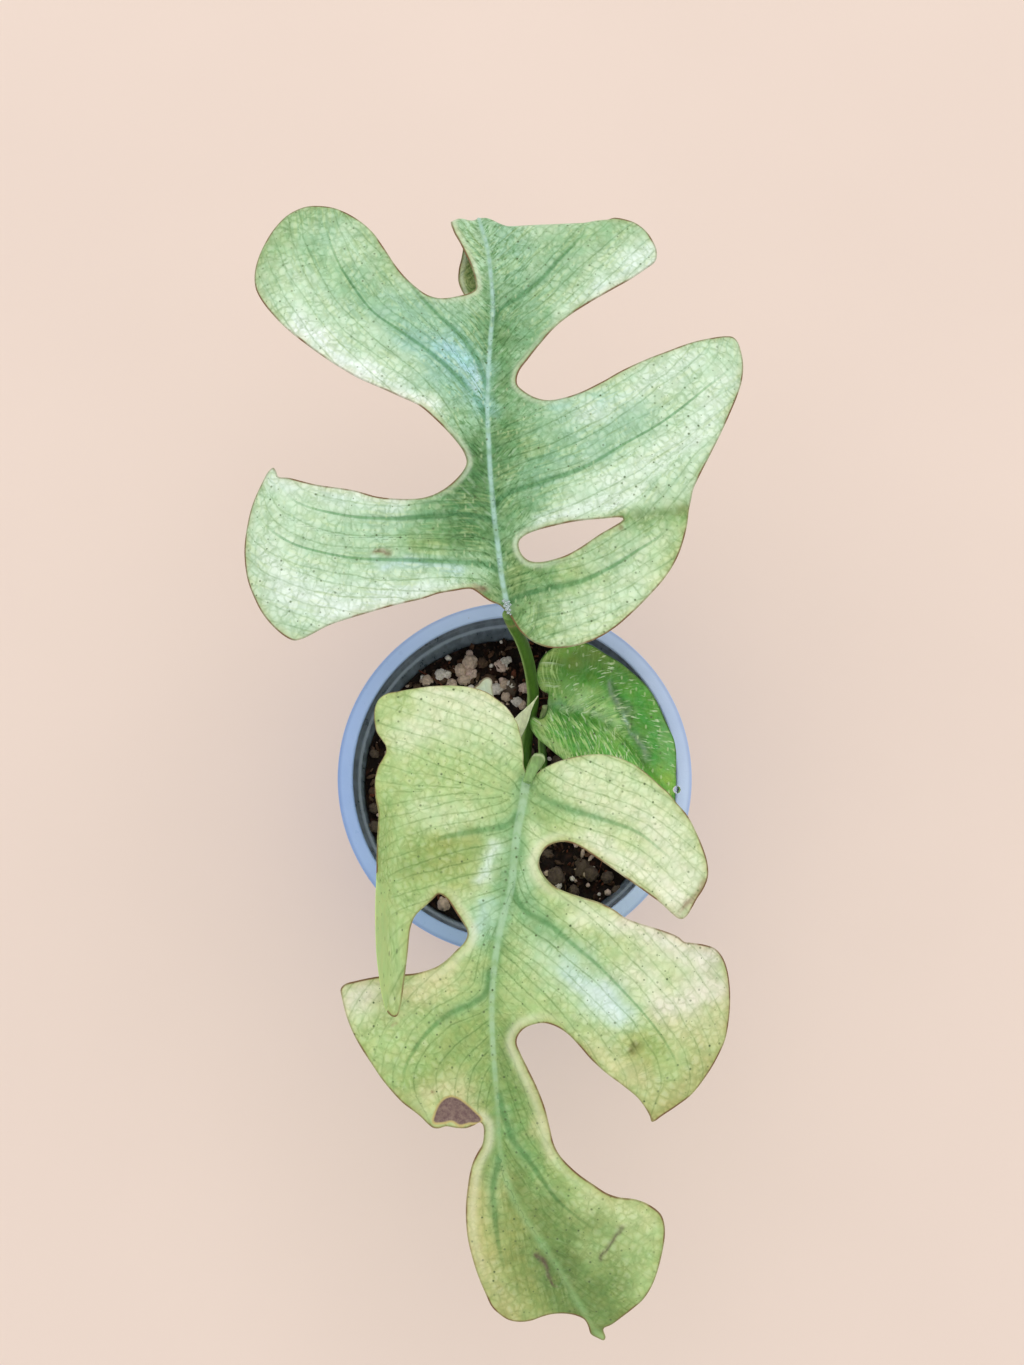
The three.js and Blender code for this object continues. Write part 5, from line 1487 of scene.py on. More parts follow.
def veined(leaf):
    """Side veins with the cross veins that tie them together, and laterals; both are returned."""
    tree, look = leaf.tree, leaf.look
    crossing = put(tree, "CombineXYZ", [times(tree, leaf.lateral, 0.3), leaf.along, 0.0])
    crossing = put(tree, "VectorMath", [leaf.wander, crossing], operation="ADD")
    mesh = put(tree, "TexVoronoi", Vector=crossing, Scale=0.4, feature="DISTANCE_TO_EDGE")
    ties = times(tree, line_mask(tree, times(tree, mesh, 2.5), 0.03, 0.28),
                 eased(tree, leaf.faint, 0.4, 0.6))
    ties = times(tree, times(tree, ties, leaf.apart), 0.3 * look.net)
    thread = times(tree, line_mask(tree, leaf.vein, 0.07, 0.3),
                   eased(tree, leaf.away, 0.35, 0.62, 1.0, 0.0))
    thread = times(tree, times(tree, thread, leaf.strength),
                   eased(tree, leaf.faint, 0.35, 0.6, 0.6 * look.lines, look.lines))
    secondary = put(tree, "Math", [ties, thread], operation="MAXIMUM")
    secondary = times(tree, secondary, eased(tree, leaf.side, 0.4, 1.8))
    width = eased(tree, leaf.along, 0.0, 45.0, 0.25, 0.08)
    soft = eased(tree, leaf.along, 0.0, 50.0, 1.1, 0.35)
    main = times(tree, line_mask(tree, leaf.lateral, width, soft),
                 times(tree, leaf.lateral_fade, look.side_veins))
    main = times(tree, main, eased(tree, leaf.apart, 0.02, 0.4))
    leaf.stain(secondary, tuple(leaf.settings.vein_tint))
    leaf.stain(times(tree, main, 0.8), tuple(leaf.settings.lateral_tint))
    return secondary, main


def ribbed(leaf):
    """The midrib's paler ridge, its own paler tissue with a painted highlight on top, in a groove
    darkened by painted shade; the ridge breaks up in places.
    """
    tree, look = leaf.tree, leaf.look
    # Painted shade along the groove on both flanks of the ridge.
    flank = put(tree, "Math", [leaf.rib_half, 0.7], operation="ADD")
    shade = times(tree, line_mask(tree, leaf.rib, flank, 1.3), eased(tree, leaf.rib_half, 0.05, 0.4))
    leaf.stain(times(tree, shade, 0.25), "#A9C4A0")
    broken_up = put(tree, "TexNoise", Vector=leaf.strokes, Scale=0.5, Detail=3.0)
    ridge = times(tree, line_mask(tree, leaf.rib, times(tree, leaf.rib_half, look.rib_width), 0.75),
                  eased(tree, leaf.rib_half, 0.02, 0.3))
    ridge = times(tree, ridge, eased(tree, broken_up, 0.35, 0.6, 0.4, 1.0))
    if look.rib_until:
        fading = eased(tree, leaf.rib_along, look.rib_until, look.rib_until + 20, 1.0, 0.3)
        ridge = times(tree, ridge, fading)
    leaf.cover(times(tree, ridge, look.rib_share), look.rib_colour or tuple(leaf.settings.rib_colour))


def spotted(leaf):
    """Small dark dots where cells have dried, and pale flecks where the pigment is missing."""
    tree = leaf.tree
    spot = put(tree, "TexVoronoi", Vector=leaf.flat, Scale=0.36, voronoi_dimensions="2D")
    pick = axes_of(tree, spot.node.outputs["Color"])
    size = eased(tree, pick[0], 0.2, 1.0, 0.07, 0.15)
    dots = put(tree, "MapRange", [spot, times(tree, size, 0.45), size, 1.0, 0.0])
    chosen = times(tree, eased(tree, pick[1], 0.35, 0.55), eased(tree, pick[2], 0.0, 1.0, 0.5, 1.0))
    chosen = times(tree, chosen, eased(tree, leaf.away, 0.3, 1.0, 1.0, 0.7))
    leaf.cover(times(tree, dots, chosen), tuple(leaf.settings.dot_colour))
    slanted = put(tree, "VectorMath", [leaf.flat, (0.9, 0.42, 1.0)], **TIMES)
    fleck = put(tree, "TexVoronoi", Vector=slanted, Scale=0.5, voronoi_dimensions="2D")
    pick = axes_of(tree, fleck.node.outputs["Color"])
    short = times(tree, eased(tree, fleck, 0.07, 0.17, 1.0, 0.0), eased(tree, pick[0], 0.55, 0.75))
    leaf.cover(times(tree, short, leaf.look.flecks), "#D6E8B4")


def margined(leaf):
    """The pale rim, the thin dry margin with a yellowed halo, and dead tissue."""
    tree, look = leaf.tree, leaf.look
    leaf.cover(times(tree, leaf.rim, 0.6), look.rim_colour)
    dry = put(tree, "TexNoise", Vector=leaf.flat, Scale=0.12, Detail=3.0)
    worn_edge = eased(tree, dry, 0.4, 0.62, 0.4, 1.0)
    margin = times(tree, eased(tree, leaf.edge, 0.2, 0.6, 1.0, 0.0), worn_edge)
    leaf.cover(margin, look.margin_colour or tuple(leaf.settings.margin_colour))
    halo = times(tree, eased(tree, leaf.edge, 0.2, 2.6, 1.0, 0.0), worn_edge)
    leaf.stain(times(tree, halo, 0.5), "#D6C98E")
    leaf.cover(times(tree, eased(tree, leaf.scorch, 0.02, 0.25), 0.9), "#C2B070")
    withered = put(tree, "TexNoise", Vector=leaf.flat, Scale=0.9, Detail=6.0, Roughness=0.7)
    patch = laid(tree, eased(tree, withered, 0.35, 0.65), "#8A7469", tuple(leaf.settings.scorch_colour))
    leaf.cover(eased(tree, leaf.scorch, 0.25, 0.6), patch)


def leaf_skin(name, settings, **look):
    """Living leaf tissue: a waxy cuticle over a net of veins, or the duller underside."""
    leaf = LeafTissue(name, settings, LeafLook(**look))
    tree = leaf.tree
    mottled(leaf)
    dark = hatched(leaf)
    combed(leaf)
    netting = netted(leaf)
    secondary, main = veined(leaf)
    ribbed(leaf)
    spotted(leaf)
    margined(leaf)
    tree.links.new(leaf.colour, leaf.shader.inputs["Base Color"])
    smoothest = leaf.look.gloss + (0.2 if leaf.look.under else 0.0)
    surface = eased(tree, leaf.broad, 0.35, 0.65, smoothest, smoothest + 0.16)
    tree.links.new(surface, leaf.shader.inputs["Roughness"])
    # The blade swells between its veins, which gives the surface its quilted look.
    height = times(tree, dark, 0.25)
    for groove, depth in ((netting, -0.4), (secondary, -0.5), (main, -0.6)):
        height = put(tree, "Math", [height, times(tree, groove, depth)], operation="ADD")
    raise_shading(tree, leaf.shader, height, 0.22)
    return leaf.material


def nowhere(flat):
    """0 at every point: the mark is not on this blade."""
    return np.zeros(len(flat))


def everywhere(flat):
    """1 at every point."""
    return np.ones(len(flat))


def build_blade(name, node, settings, loops, rib, laterals, surface, ground, strokes, seed,
                skins, under_ground, spacing=None, creases=(), lift=None, scorch=nowhere,
                puff=0.3, wave=0.4, rim_width=0.6, under_share=0.55, vein_tone="#86B48C",
                deep_at=None, rib_taper=0.4, gap_share=1.0, painted_sheens=(), band_share=0.5,
                calm=nowhere, quiet=nowhere, rim_at=everywhere):
    """One blade, both faces painted and veined, with its margins closed.

    Functions of the flat points mark parts of it: scorch is dead, calm has neither side veins nor a dry
    margin, quiet has faint laterals, rim_at keeps the pale rim and deep_at is deep green.
    """
    loops = [smooth_line(loop, MARGIN_STEP, closed=True) for loop in loops]
    blade = Blade(loops, rib, laterals, spacing or settings.spacing / MM, creases,
                  gap_share * settings.side_vein_gap / MM, seed)
    points = blade_shape(blade, surface, settings.thickness / MM, puff, wave, seed, lift)
    faces, number = blade_faces(blade.triangles, len(blade.flat))
    tone = painted(blade.flat, ground, strokes, seed)
    blade.vein_strength *= 1 - calm(blade.flat)
    blade.gap *= 1 - calm(blade.flat)
    blade.lateral_weight = 1 - quiet(blade.flat)
    # Bands of deeper green lie along the laterals, the midrib and the side veins.
    band = band_share * blade.lateral_weight * bump(blade.lateral, LATERAL_BAND)
    band = band * (1 - ramp(blade.lateral_share, 0.15, 0.9))
    band = band * ramp(blade.lateral_along, -1, 1)
    rib_band = RIB_BAND - RIB_BAND_LOSS * blade.rib_share
    band = np.maximum(band, RIB_BAND_SHARE * bump(blade.rib, rib_band))
    vein_band = VEIN_BAND_SHARE * blade.vein_strength * bump(blade.vein_away, VEIN_BAND)
    band = np.maximum(band, vein_band)[:, None]
    tone = tone * (1 - band) + encoded(vein_tone) * band
    # Painted highlights: the sheen strokes go on last, over the bands of deeper green.
    tone = painted(blade.flat, tone, painted_sheens, seed + 1)
    under = (1 - under_share) * tone + under_share * encoded(under_ground)
    blade.edge = blade.edge + 3 * ramp(calm(blade.flat), 0.6, 1) + 0.3 * quiet(blade.flat)
    deep = deep_at(blade.flat) if deep_at else bump(blade.rib, DEEP_REACH)
    rim = np.zeros(len(blade.flat))
    if rim_width:
        rim = bump(blade.edge - 0.3 - rim_width, rim_width) * bump(blade.rib, RIM_REACH)
        rim = rim * ramp(blade.rib_along, 5, 10) * rim_at(blade.flat)
    values = blade_values(blade, tone, under, deep, rim, scorch(blade.flat), rib_taper)
    return make_piece(name, points, faces, skins, replaced=[node], material_index=number,
                      values=values)


STEP_WIDTH = 0.55


def step_across(line, height, reach, start, end):
    """A crease: the blade steps up across a line, more and more from start to end along it."""
    route = smooth_line(line, LATERAL_STEP)

    def lift(u, v):
        """How far each point rises or sinks."""
        across, along = line_field(np.column_stack([u, v]), route)
        near = np.abs(across) < 3 * reach
        step = height * np.tanh(across / STEP_WIDTH) * np.exp(-np.abs(across) / reach)
        return step * near * ramp(along, start, end)

    return lift


def curled(flat):
    """1 on the strip of the lower blade that hangs out of its curl, where no vein shows.

    On the lobe at its tip, where they are faint, it is 0.55.
    """
    u, v = flat.T
    strip = ramp(u, -34, -38) * ramp(v, -22, -30) * ramp(v, -52, -50)
    return np.maximum(strip, 0.55 * ramp(v, -94, -104))


def combed_side(flat):
    """How far the streaks show on the small blade: fully on the low side of its crease."""
    across = line_field(flat, smooth_line(SMALL_CREASE, LATERAL_STEP))[0]
    low = np.maximum(ramp(flat[:, 1], 6, -2), ramp(flat[:, 0], 5, 2))
    return 0.12 + 0.88 * ramp(across, 1, -3) * low


def rimmed_part(flat):
    """1 where the lower blade has a pale rim: the tip lobe's right and lower margins have none."""
    u, v = flat.T
    return np.where(u < 2, ramp(v, -134, -126), ramp(v, -112, -104))


def upper_lobes(flat):
    """How far the laterals of the lower blade's two upper lobes fade."""
    return 0.75 * ramp(flat[:, 1], -11, -6) * np.where(flat[:, 0] < -3, 1, 0.8)


def dead_patch(flat):
    """1 in the dead patch of the lower blade, fading out over its yellowed rim."""
    loop = smooth_line(SCORCH, 0.5, closed=True)
    depth = edge_distance(flat, [loop])
    signed = np.where(inside(flat, loop), depth, -depth)
    return ramp(signed, -0.9, 0.9)


def sunken_patch(u, v):
    """The dead tissue has shrunk, by up to a millimetre."""
    return -1.0 * dead_patch(np.column_stack([u, v]))


# ---- Pot ----
POT_RIM = 52.5
POT_TALL = 90.0
FLOOR_RING = 34.0
FLOOR_THICKNESS = 1.6
# Radius, height and corner radius; from the edge of the underside, up the outside and down the inside.
POT_OUTSIDE = [
    (FLOOR_RING, 0, 0), (36.0, 0, 0.6), (47.4, 80.4, 0.8), (48.4, 81.6, 0.5), (49.1, 88.8, 0.25),
    (51.3, 88.8, 0.25), (51.3, 84, 0.15), (52, 84, 0.2), (POT_RIM, POT_TALL, 0.7),
    (48.0, POT_TALL, 0.6),
]
POT_INSIDE = [
    (47.2, 82.2, 0.4), (46.2, 81.6, 0.5), (35, FLOOR_THICKNESS, 1.2),
    (FLOOR_RING, FLOOR_THICKNESS, 0),
]
DRAIN_COUNT = 8
DRAIN_CIRCLE = 24
DRAIN_RADIUS = 3.5
DRAIN_SIDES = 36
POT_FLOOR_SPACING = 3.0


def circle(radius, sides, centre=(0, 0)):
    """Points round a circle."""
    angle = np.linspace(0, math.tau, sides, endpoint=False)
    return np.column_stack([centre[0] + radius * np.cos(angle), centre[1] + radius * np.sin(angle)])


def pot_mesh(settings):
    """The wall turned round the axis, and a floor with its drain holes."""
    sides = settings.sides
    profile = rounded(POT_OUTSIDE + POT_INSIDE)
    ring = circle(1, sides)
    wall = np.vstack([np.column_stack([ring * r, np.full(sides, z)]) for r, z in profile])
    here, there = np.arange(sides), np.roll(np.arange(sides), -1)
    band = quads(here, there, there + sides, here + sides)
    wall_faces = np.vstack([band + row * sides for row in range(len(profile) - 1)])
    turns = [math.tau * (k + 0.5) / DRAIN_COUNT for k in range(DRAIN_COUNT)]
    drains = [circle(DRAIN_RADIUS, DRAIN_SIDES, centre)
              for centre in [(DRAIN_CIRCLE * math.cos(turn), DRAIN_CIRCLE * math.sin(turn))
                             for turn in turns]]
    flat, triangles = flat_triangles([circle(FLOOR_RING, sides)] + drains, [], POT_FLOOR_SPACING)
    count = len(flat)
    floor = np.vstack([np.column_stack([flat, np.full(count, z)]) for z in (FLOOR_THICKNESS, 0)])
    a, b = open_edges(triangles).T
    bored = np.hypot(*flat[a].T) < FLOOR_RING - 1
    a, b = a[bored], b[bored]
    floor_faces = np.vstack([triangles, triangles[:, ::-1] + count, quads(a, a + count, b + count, b)])
    points, faces = joined([(wall, wall_faces), (floor, floor_faces)])
    _, first, merged = np.unique(np.round(points, 4), axis=0, return_index=True, return_inverse=True)
    scale = np.array([settings.rim_radius / MM / POT_RIM] * 2 + [settings.height / MM / POT_TALL])
    return points[first] * scale, merged.ravel()[faces]


# Pale lines along the ledges of the inner wall, painted highlights where their edges catch the light:
# (height, share).
LEDGE_HIGHLIGHTS = ((81.5, 0.8), (85.6, 0.4))


def plastic(settings):
    """Polypropylene, injection moulded: satin from the polished mould, with a damp film inside. Painted
    light: paler towards the right, painted shade on the flange's outer edge and over the inner wall, and
    painted highlights on the inner ledges.
    """
    material, tree, shader = new_material("polypropylene_injection_moulded", IOR=1.49)
    place = millimetres(tree)
    x, y, z = axes_of(tree, place)
    flatly = put(tree, "CombineXYZ", [x, y, 0.0])
    radius = put(tree, "VectorMath", [flatly], out=1, operation="LENGTH")
    # Painted light: the plastic is painted paler towards the right, where more light falls on the
    # flange.
    slant = put(tree, "Math", [x, times(tree, y, 0.4)], operation="ADD")
    painted_light_to_right = put(tree, "MapRange", [slant, -50.0, 35.0, 0.0, 1.0])
    colour = laid(tree, painted_light_to_right, tuple(settings.plastic), "#C8DCFF")
    # Painted shade on the flange's rounded outer edge.
    lip_shade = times(tree, eased(tree, radius, 51.0, 52.2), 0.5)
    colour = stained(tree, lip_shade, colour, "#A9B6D0")
    cloud = put(tree, "TexNoise", Vector=place, Scale=0.07, Detail=4.0)
    colour = stained(tree, eased(tree, cloud, 0.35, 0.7), colour, "#F6F8FB")
    # Inside, the wall is painted dark as painted shade, streaked by a film of dust and dried water that
    # also dulls it.
    wall = put(tree, "MapRange", [z, FLOOR_THICKNESS, POT_TALL, 35.6, 48.7])
    inner = put(tree, "Math", [radius, wall], operation="LESS_THAN")
    inner = times(tree, inner, eased(tree, z, 88.6, 89.4, 1.0, 0.0))
    streaked = put(tree, "VectorMath", [place, (1.0, 1.0, 0.25)], **TIMES)
    film = put(tree, "TexNoise", Vector=streaked, Scale=0.4, Detail=6.0, Roughness=0.65)
    dark = laid(tree, eased(tree, film, 0.35, 0.7), tuple(settings.inner_shade_and_film), "#8290A2")
    for height, share in LEDGE_HIGHLIGHTS:
        above = eased(tree, z, height, height + 0.4)
        ledge = times(tree, above, eased(tree, z, height + 0.8, height + 1.4, 1.0, 0.0))
        dark = laid(tree, times(tree, ledge, share), dark, "#8E9AAD")
    colour = laid(tree, inner, colour, dark)
    # Crumbs of the mix leave small brown marks on the flange.
    crumbs = put(tree, "TexVoronoi", Vector=place, Scale=0.22)
    pick = axes_of(tree, crumbs.node.outputs["Color"])
    size = eased(tree, pick[0], 0.75, 1.0, 0.0, 0.1)
    marks = put(tree, "MapRange", [crumbs, times(tree, size, 0.5), size, 0.75, 0.0])
    colour = laid(tree, marks, colour, "#5A4A42")
    tree.links.new(colour, shader.inputs["Base Color"])
    gloss = eased(tree, film, 0.3, 0.7, 0.26, 0.44)
    tree.links.new(gloss, shader.inputs["Roughness"])
    scratch = put(tree, "TexNoise", Vector=place, Scale=1.5, Detail=3.0)
    raise_shading(tree, shader, scratch, 0.05)
    return material


# ---- Potting mix ----
SOIL_FLOOR = 1.95
WALL_CLEARANCE = 0.35
GOLDEN_ANGLE = math.pi * (3 - math.sqrt(5))
SOIL_SIDES = 160
SOIL_DISC = 45.0
SOIL_SPACING = 0.85
SOLID_GRAINS = 64
SOLID_REACH = 40.5
LOOSE_REACH = 44.2
FIBRE_COUNT = 30
FIBRE_REACH = 42
STEM_MIDDLE = (2.7, -6.5)
STEM_ROOM = 4.7

TAN_GRAIN = "#D6BFB0"
WHITE_GRAIN = "#F0E8E4"
PINK_GRAIN = "#DCC3BA"
BARK_GRAIN = "#5E4A3D"
# A dull dark brown: painted shade on the grains seen under the blades, and the dark brown of the bark
# lumps.
DARK_AND_SHADED_GRAIN = "#63564C"
COIR = "#6E4030"
PERLITE_TINTS = (WHITE_GRAIN, TAN_GRAIN, PINK_GRAIN)
CRUMB_TINTS = (BARK_GRAIN, "#3E2A20", "#5A4032", "#2C1D18", COIR, TAN_GRAIN)
# Grains that can be told apart: (right, up, radius, colour) in the plant's frame.
SEEN_GRAINS = [
    (-27.7, 32.3, 1.7, TAN_GRAIN), (-23.4, 34.2, 1.8, WHITE_GRAIN), (-21.5, 34.2, 1.6, WHITE_GRAIN),
    (-14.1, 38.0, 2.6, TAN_GRAIN), (-16.9, 35.5, 2.2, TAN_GRAIN), (-15.9, 32.7, 2.0, TAN_GRAIN),
    (-19.6, 31.1, 1.8, TAN_GRAIN), (-13.8, 34.5, 2.0, PINK_GRAIN), (-10.4, 38.0, 1.7, BARK_GRAIN),
    (-4.8, 37.1, 1.8, PINK_GRAIN), (-3.6, 38.3, 1.6, WHITE_GRAIN), (-2.3, 39.3, 1.2, WHITE_GRAIN),
    (-6.1, 29.8, 2.0, WHITE_GRAIN), (-3.6, 31.4, 1.7, TAN_GRAIN), (-2.0, 30.8, 1.5, WHITE_GRAIN),
    (-2.9, 27.3, 1.6, TAN_GRAIN), (2.6, 30.2, 1.8, PINK_GRAIN), (0.4, 25.8, 1.6, WHITE_GRAIN),
    (2.0, 24.8, 1.3, TAN_GRAIN), (-43.2, 9.0, 1.4, DARK_AND_SHADED_GRAIN), (-43.4, -2.6, 1.2, BARK_GRAIN),
    (-42.8, -7.7, 1.6, DARK_AND_SHADED_GRAIN), (-42.6, -13.4, 1.8, DARK_AND_SHADED_GRAIN), (12.3, -28.2, 2.6, DARK_AND_SHADED_GRAIN),
    (22.9, -27.2, 2.3, DARK_AND_SHADED_GRAIN), (27.7, -28.4, 2.0, DARK_AND_SHADED_GRAIN), (17.7, -32.1, 1.6, DARK_AND_SHADED_GRAIN),
    (30.4, -32.0, 1.4, DARK_AND_SHADED_GRAIN), (-21.5, -36.4, 2.0, TAN_GRAIN), (-30.5, 30.0, 1.4, BARK_GRAIN),
    (-8.0, 33.0, 1.3, BARK_GRAIN), (-11.5, 30.5, 1.2, DARK_AND_SHADED_GRAIN), (-36.0, 24.0, 1.5, DARK_AND_SHADED_GRAIN),
]


def soil_top(x, y):
    """Height of the mix, which lies a little deeper on the right and at the back."""
    ripple = 0.5 * np.sin(0.31 * x + 1.3) * np.cos(0.27 * y - 0.6)
    return 74.5 - 0.085 * x - 0.075 * y + ripple


def soil_wall(z):
    """Radius of the mix inside the tapered pot."""
    return 35 + (z - FLOOR_THICKNESS) / 80 * 11.2 - WALL_CLEARANCE


def soil_mesh():
    """The lump of mix: a crumbly top and plain sides against the pot."""
    flat, triangles = flat_triangles([circle(SOIL_DISC, SOIL_SIDES)], [], SOIL_SPACING)
    angle = np.arctan2(flat[:, 1], flat[:, 0])
    reach = np.full(len(flat), SOIL_DISC)
    for _ in range(4):
        reach = soil_wall(soil_top(reach * np.cos(angle), reach * np.sin(angle)))
    flat = flat * (reach / SOIL_DISC)[:, None]
    # Lumps, crumbs and grit, each about half as wide and high as the one before.
    crumbs = 0.9 * rough(flat, 4.2, 3) + 0.6 * np.abs(rough(flat, 1.8, 9)) + 0.3 * rough(flat, 0.9, 5)
    edge = smooth_step((reach - np.hypot(*flat.T)) / 3)
    top = np.column_stack([flat, soil_top(*flat.T) + crumbs * edge])
    a, b = open_edges(triangles).T
    count = len(flat)
    scale = soil_wall(SOIL_FLOOR) / np.hypot(*flat[a].T)
    low = np.column_stack([flat[a] * scale[:, None], np.full(len(a), SOIL_FLOOR)])
    place = np.zeros(count, int)
    place[a] = np.arange(len(a))
    low_a, low_b = count + place[a], count + place[b]
    underside = np.column_stack([low_b, low_a, np.full(len(a), count + len(a))])
    faces = np.vstack([triangles, quads(a, low_a, low_b, b), underside])
    return np.vstack([top, low, [(0, 0, SOIL_FLOOR)]]), faces


def grain(size, centre, turn, stretch, levels, seed, lumps=0.28):
    """One rough grain."""
    ball, faces = icosphere(levels)
    shape = 1 + lumps * rough(ball, 0.55, seed) + 0.4 * lumps * rough(ball, 0.2, seed + 3)
    points = ball * shape[:, None] * size * np.array(stretch)
    spin = np.array(Euler(turn).to_matrix())
    return points @ spin.T + centre, faces


def clear_of_stem(x, y, size):
    """Whether something of that radius lies clear of the stem."""
    return math.hypot(x - STEM_MIDDLE[0], y - STEM_MIDDLE[1]) > STEM_ROOM + size


def solid_grains():
    """Dark lumps of bark laid in a spiral, as (mesh, colour)."""
    draw = seeded_random(11)
    for i in range(SOLID_GRAINS):
        size = 1.7 + 1.4 * next(draw)
        angle = GOLDEN_ANGLE * i + 0.5 * next(draw)
        turn = (2 * next(draw), 0, 6 * next(draw))
        reach = SOLID_REACH * math.sqrt((i + 0.5) / SOLID_GRAINS)
        x, y = reach * math.cos(angle), reach * math.sin(angle)
        if clear_of_stem(x, y, size):
            place = (x, y, soil_top(x, y) - 0.25 * size)
            colour = BARK_GRAIN if i % 3 == 1 else DARK_AND_SHADED_GRAIN
            yield grain(size, place, turn, (1.15, 0.9, 0.8), 2, i), colour


def seen_grains():
    """The grains that can be told apart, as (mesh, colour)."""
    for i, (u, v, size, colour) in enumerate(SEEN_GRAINS):
        x, y = u + PLANT_PLACE[0], v + PLANT_PLACE[1]
        place = (x, y, soil_top(x, y) + 0.45 * size)
        yield grain(size, place, (0.4 * i, 0.7 * i, 1.3 * i), (1.1, 0.95, 0.9), 3, 40 + i), colour


def loose_grains(settings, draw):
    """Small crumbs of bark and coir, then scattered perlite, as (mesh, colour)."""
    for i in range(settings.small_grains + settings.perlite):
        loose = i >= settings.small_grains
        size = (0.5 + 0.8 * next(draw)) if loose else (0.3 + 0.75 * next(draw) ** 2)
        angle, reach = math.tau * next(draw), LOOSE_REACH * math.sqrt(next(draw))
        turn = (6 * next(draw), 6 * next(draw), 6 * next(draw))
        pick = next(draw)
        x, y = reach * math.cos(angle), reach * math.sin(angle)
        place = (x, y, soil_top(x, y) + 0.35 + 0.5 * size)
        if clear_of_stem(x, y, size) and loose:
            yield grain(size, place, turn, (1, 0.9, 0.85), 1, i), PERLITE_TINTS[i % len(PERLITE_TINTS)]
        elif clear_of_stem(x, y, size):
            colour = CRUMB_TINTS[int(pick**1.6 * len(CRUMB_TINTS)) % len(CRUMB_TINTS)]
            yield grain(size, place, turn, (1.7, 0.8, 0.6), 1, i, 0.5), colour


def fibres(draw):
    """A few fibres of coir that lie across the mix, as (mesh, colour)."""
    for _ in range(FIBRE_COUNT):
        angle, reach = math.tau * next(draw), FIBRE_REACH * math.sqrt(next(draw))
        x, y = reach * math.cos(angle), reach * math.sin(angle)
        turn, length, bend = math.tau * next(draw), 2 + 4 * next(draw), next(draw) - 0.5
        if clear_of_stem(x, y, length):
            route = []
            for k in (-1, 0, 1):
                px = x + k * length * math.cos(turn) + bend * (1 - k * k) * 2
                py = y + k * length * math.sin(turn)
                route.append((px, py, soil_top(px, py) + 0.8 + 0.5 * (1 - k * k)))
            yield tube(route, lambda t: 0.16 + 0.05 * math.sin(9 * t), 8, 6), COIR


def all_grains(settings):
    """Everything that lies on the mix, as (mesh, colour)."""
    draw = seeded_random(23)
    return [*solid_grains(), *seen_grains(), *loose_grains(settings, draw), *fibres(draw)]


def crumbled(name, low, high, coarse):
    """Crumbs and grains, each with its own colour, dusty or damp on the surface."""
    material, tree, shader = new_material(name, IOR=1.4, Specular_IOR_Level=0.25)
    place = millimetres(tree)
    tone = attribute(tree, "tone", "Color")
    fine = put(tree, "TexNoise", Vector=place, Scale=1 / coarse, Detail=7.0, Roughness=0.7)
    colour = put(tree, "HueSaturation", Value=eased(tree, fine, 0.3, 0.7, low, high), Color=tone)
    tree.links.new(colour, shader.inputs["Base Color"])
    # Damp spots are glossier than dry ones.
    wet = put(tree, "TexNoise", Vector=place, Scale=0.15, Detail=4.0)
    tree.links.new(eased(tree, wet, 0.4, 0.6, 0.92, 0.5), shader.inputs["Roughness"])
    raise_shading(tree, shader, fine, 0.5)
    return material


def toned(parts):
    """Meshes with one colour each, joined, and their colours by point."""
    rows = [np.tile(linear(colour)[:3], (len(mesh[0]), 1)) for mesh, colour in parts]
    points, faces = joined([mesh for mesh, _ in parts])
    return points, faces, tones(np.vstack(rows))


# ---- Stalks: centre lines in the plant's frame ----
STEM_LINE = [(2.4, -5.4, 48), (2.7, -4.9, 62), (2.9, -4.4, 75), (3, -4, 86)]
UPPER_STALK = [
    (3.3, -0.25, 78.1), (3.2, 3, 79.2), (3.2, 10.6, 86), (4.2, 17, 94.5), (5, 21.6, 101.5),
    (4.5, 26.1, 110.5), (3.3, 29.8, 121), (1.4, 33, 133), (-0.6, 35.1, 142), (-1.9, 36.6, 148.5),
]
LOWER_STALK = [
    (3, -3.95, 86.4), (3.4, -3, 95), (4.3, 0, 109), (5.1, 1.0, 122), (5.7, 1.1, 130),
    (5.9, 0.6, 134.2), (5.3, -0.9, 137.0), (4.3, -2.6, 138.6), (3.5, -4.4, 139.6),
    (2.9, -6.2, 140.0),
]
SMALL_STALK = [
    (6.9, -4.4, 80.6), (8.3, -3.8, 81.2), (8.6, 1.5, 84.2), (7.8, 10.5, 90), (8, 16.6, 95.6),
    (8.9, 20, 99.4),
]
SPEAR_LINE = [
    (0.6, -0.8, 83.5), (-0.9, 3, 87), (-0.9, 8.5, 93), (0.3, 13.2, 100), (2.9, 16.8, 108.5),
    (6.1, 20.2, 118),
]
YOUNG_STALK = [
    (-1.2, -4.5, 80.4), (-2.8, -4, 81), (-4.6, 1.6, 88), (-5.7, 10, 99.5), (-5.5, 15, 107),
    (-6.6, 18.4, 109.6),
]


STALK_STEPS = 110
STALK_SIDES = 40


def stalk_radius(radius, sheath, joint):
    """A stalk's radius along it: wider at the sheath of its foot and at the joint near its top."""
    return lambda t: radius + sheath * bump(t, 0.14) + joint * bump(t - 0.95, 0.07)


def stem_radius(t):
    """The stem has two nodes, where leaves joined it."""
    return 2.85 + 0.35 * bump(t - 0.86, 0.05) + 0.3 * bump(t - 0.7, 0.04)


def knee_radius(t):
    """The lower stalk swells at its knee and runs out into the midrib."""
    swelling = 1.6 + 0.3 * bump(t, 0.14) + 0.2 * bump(t - 0.84, 0.05)
    return swelling * (1 - 0.25 * ramp(t, 0.88, 1))


def spear_radius(t):
    """The rolled sheath is widest past its middle and ends in a point."""
    return max(1.1 + 1.1 * bump(t - 0.6, 0.22) - ramp(t, 0.5, 1), 0.05)


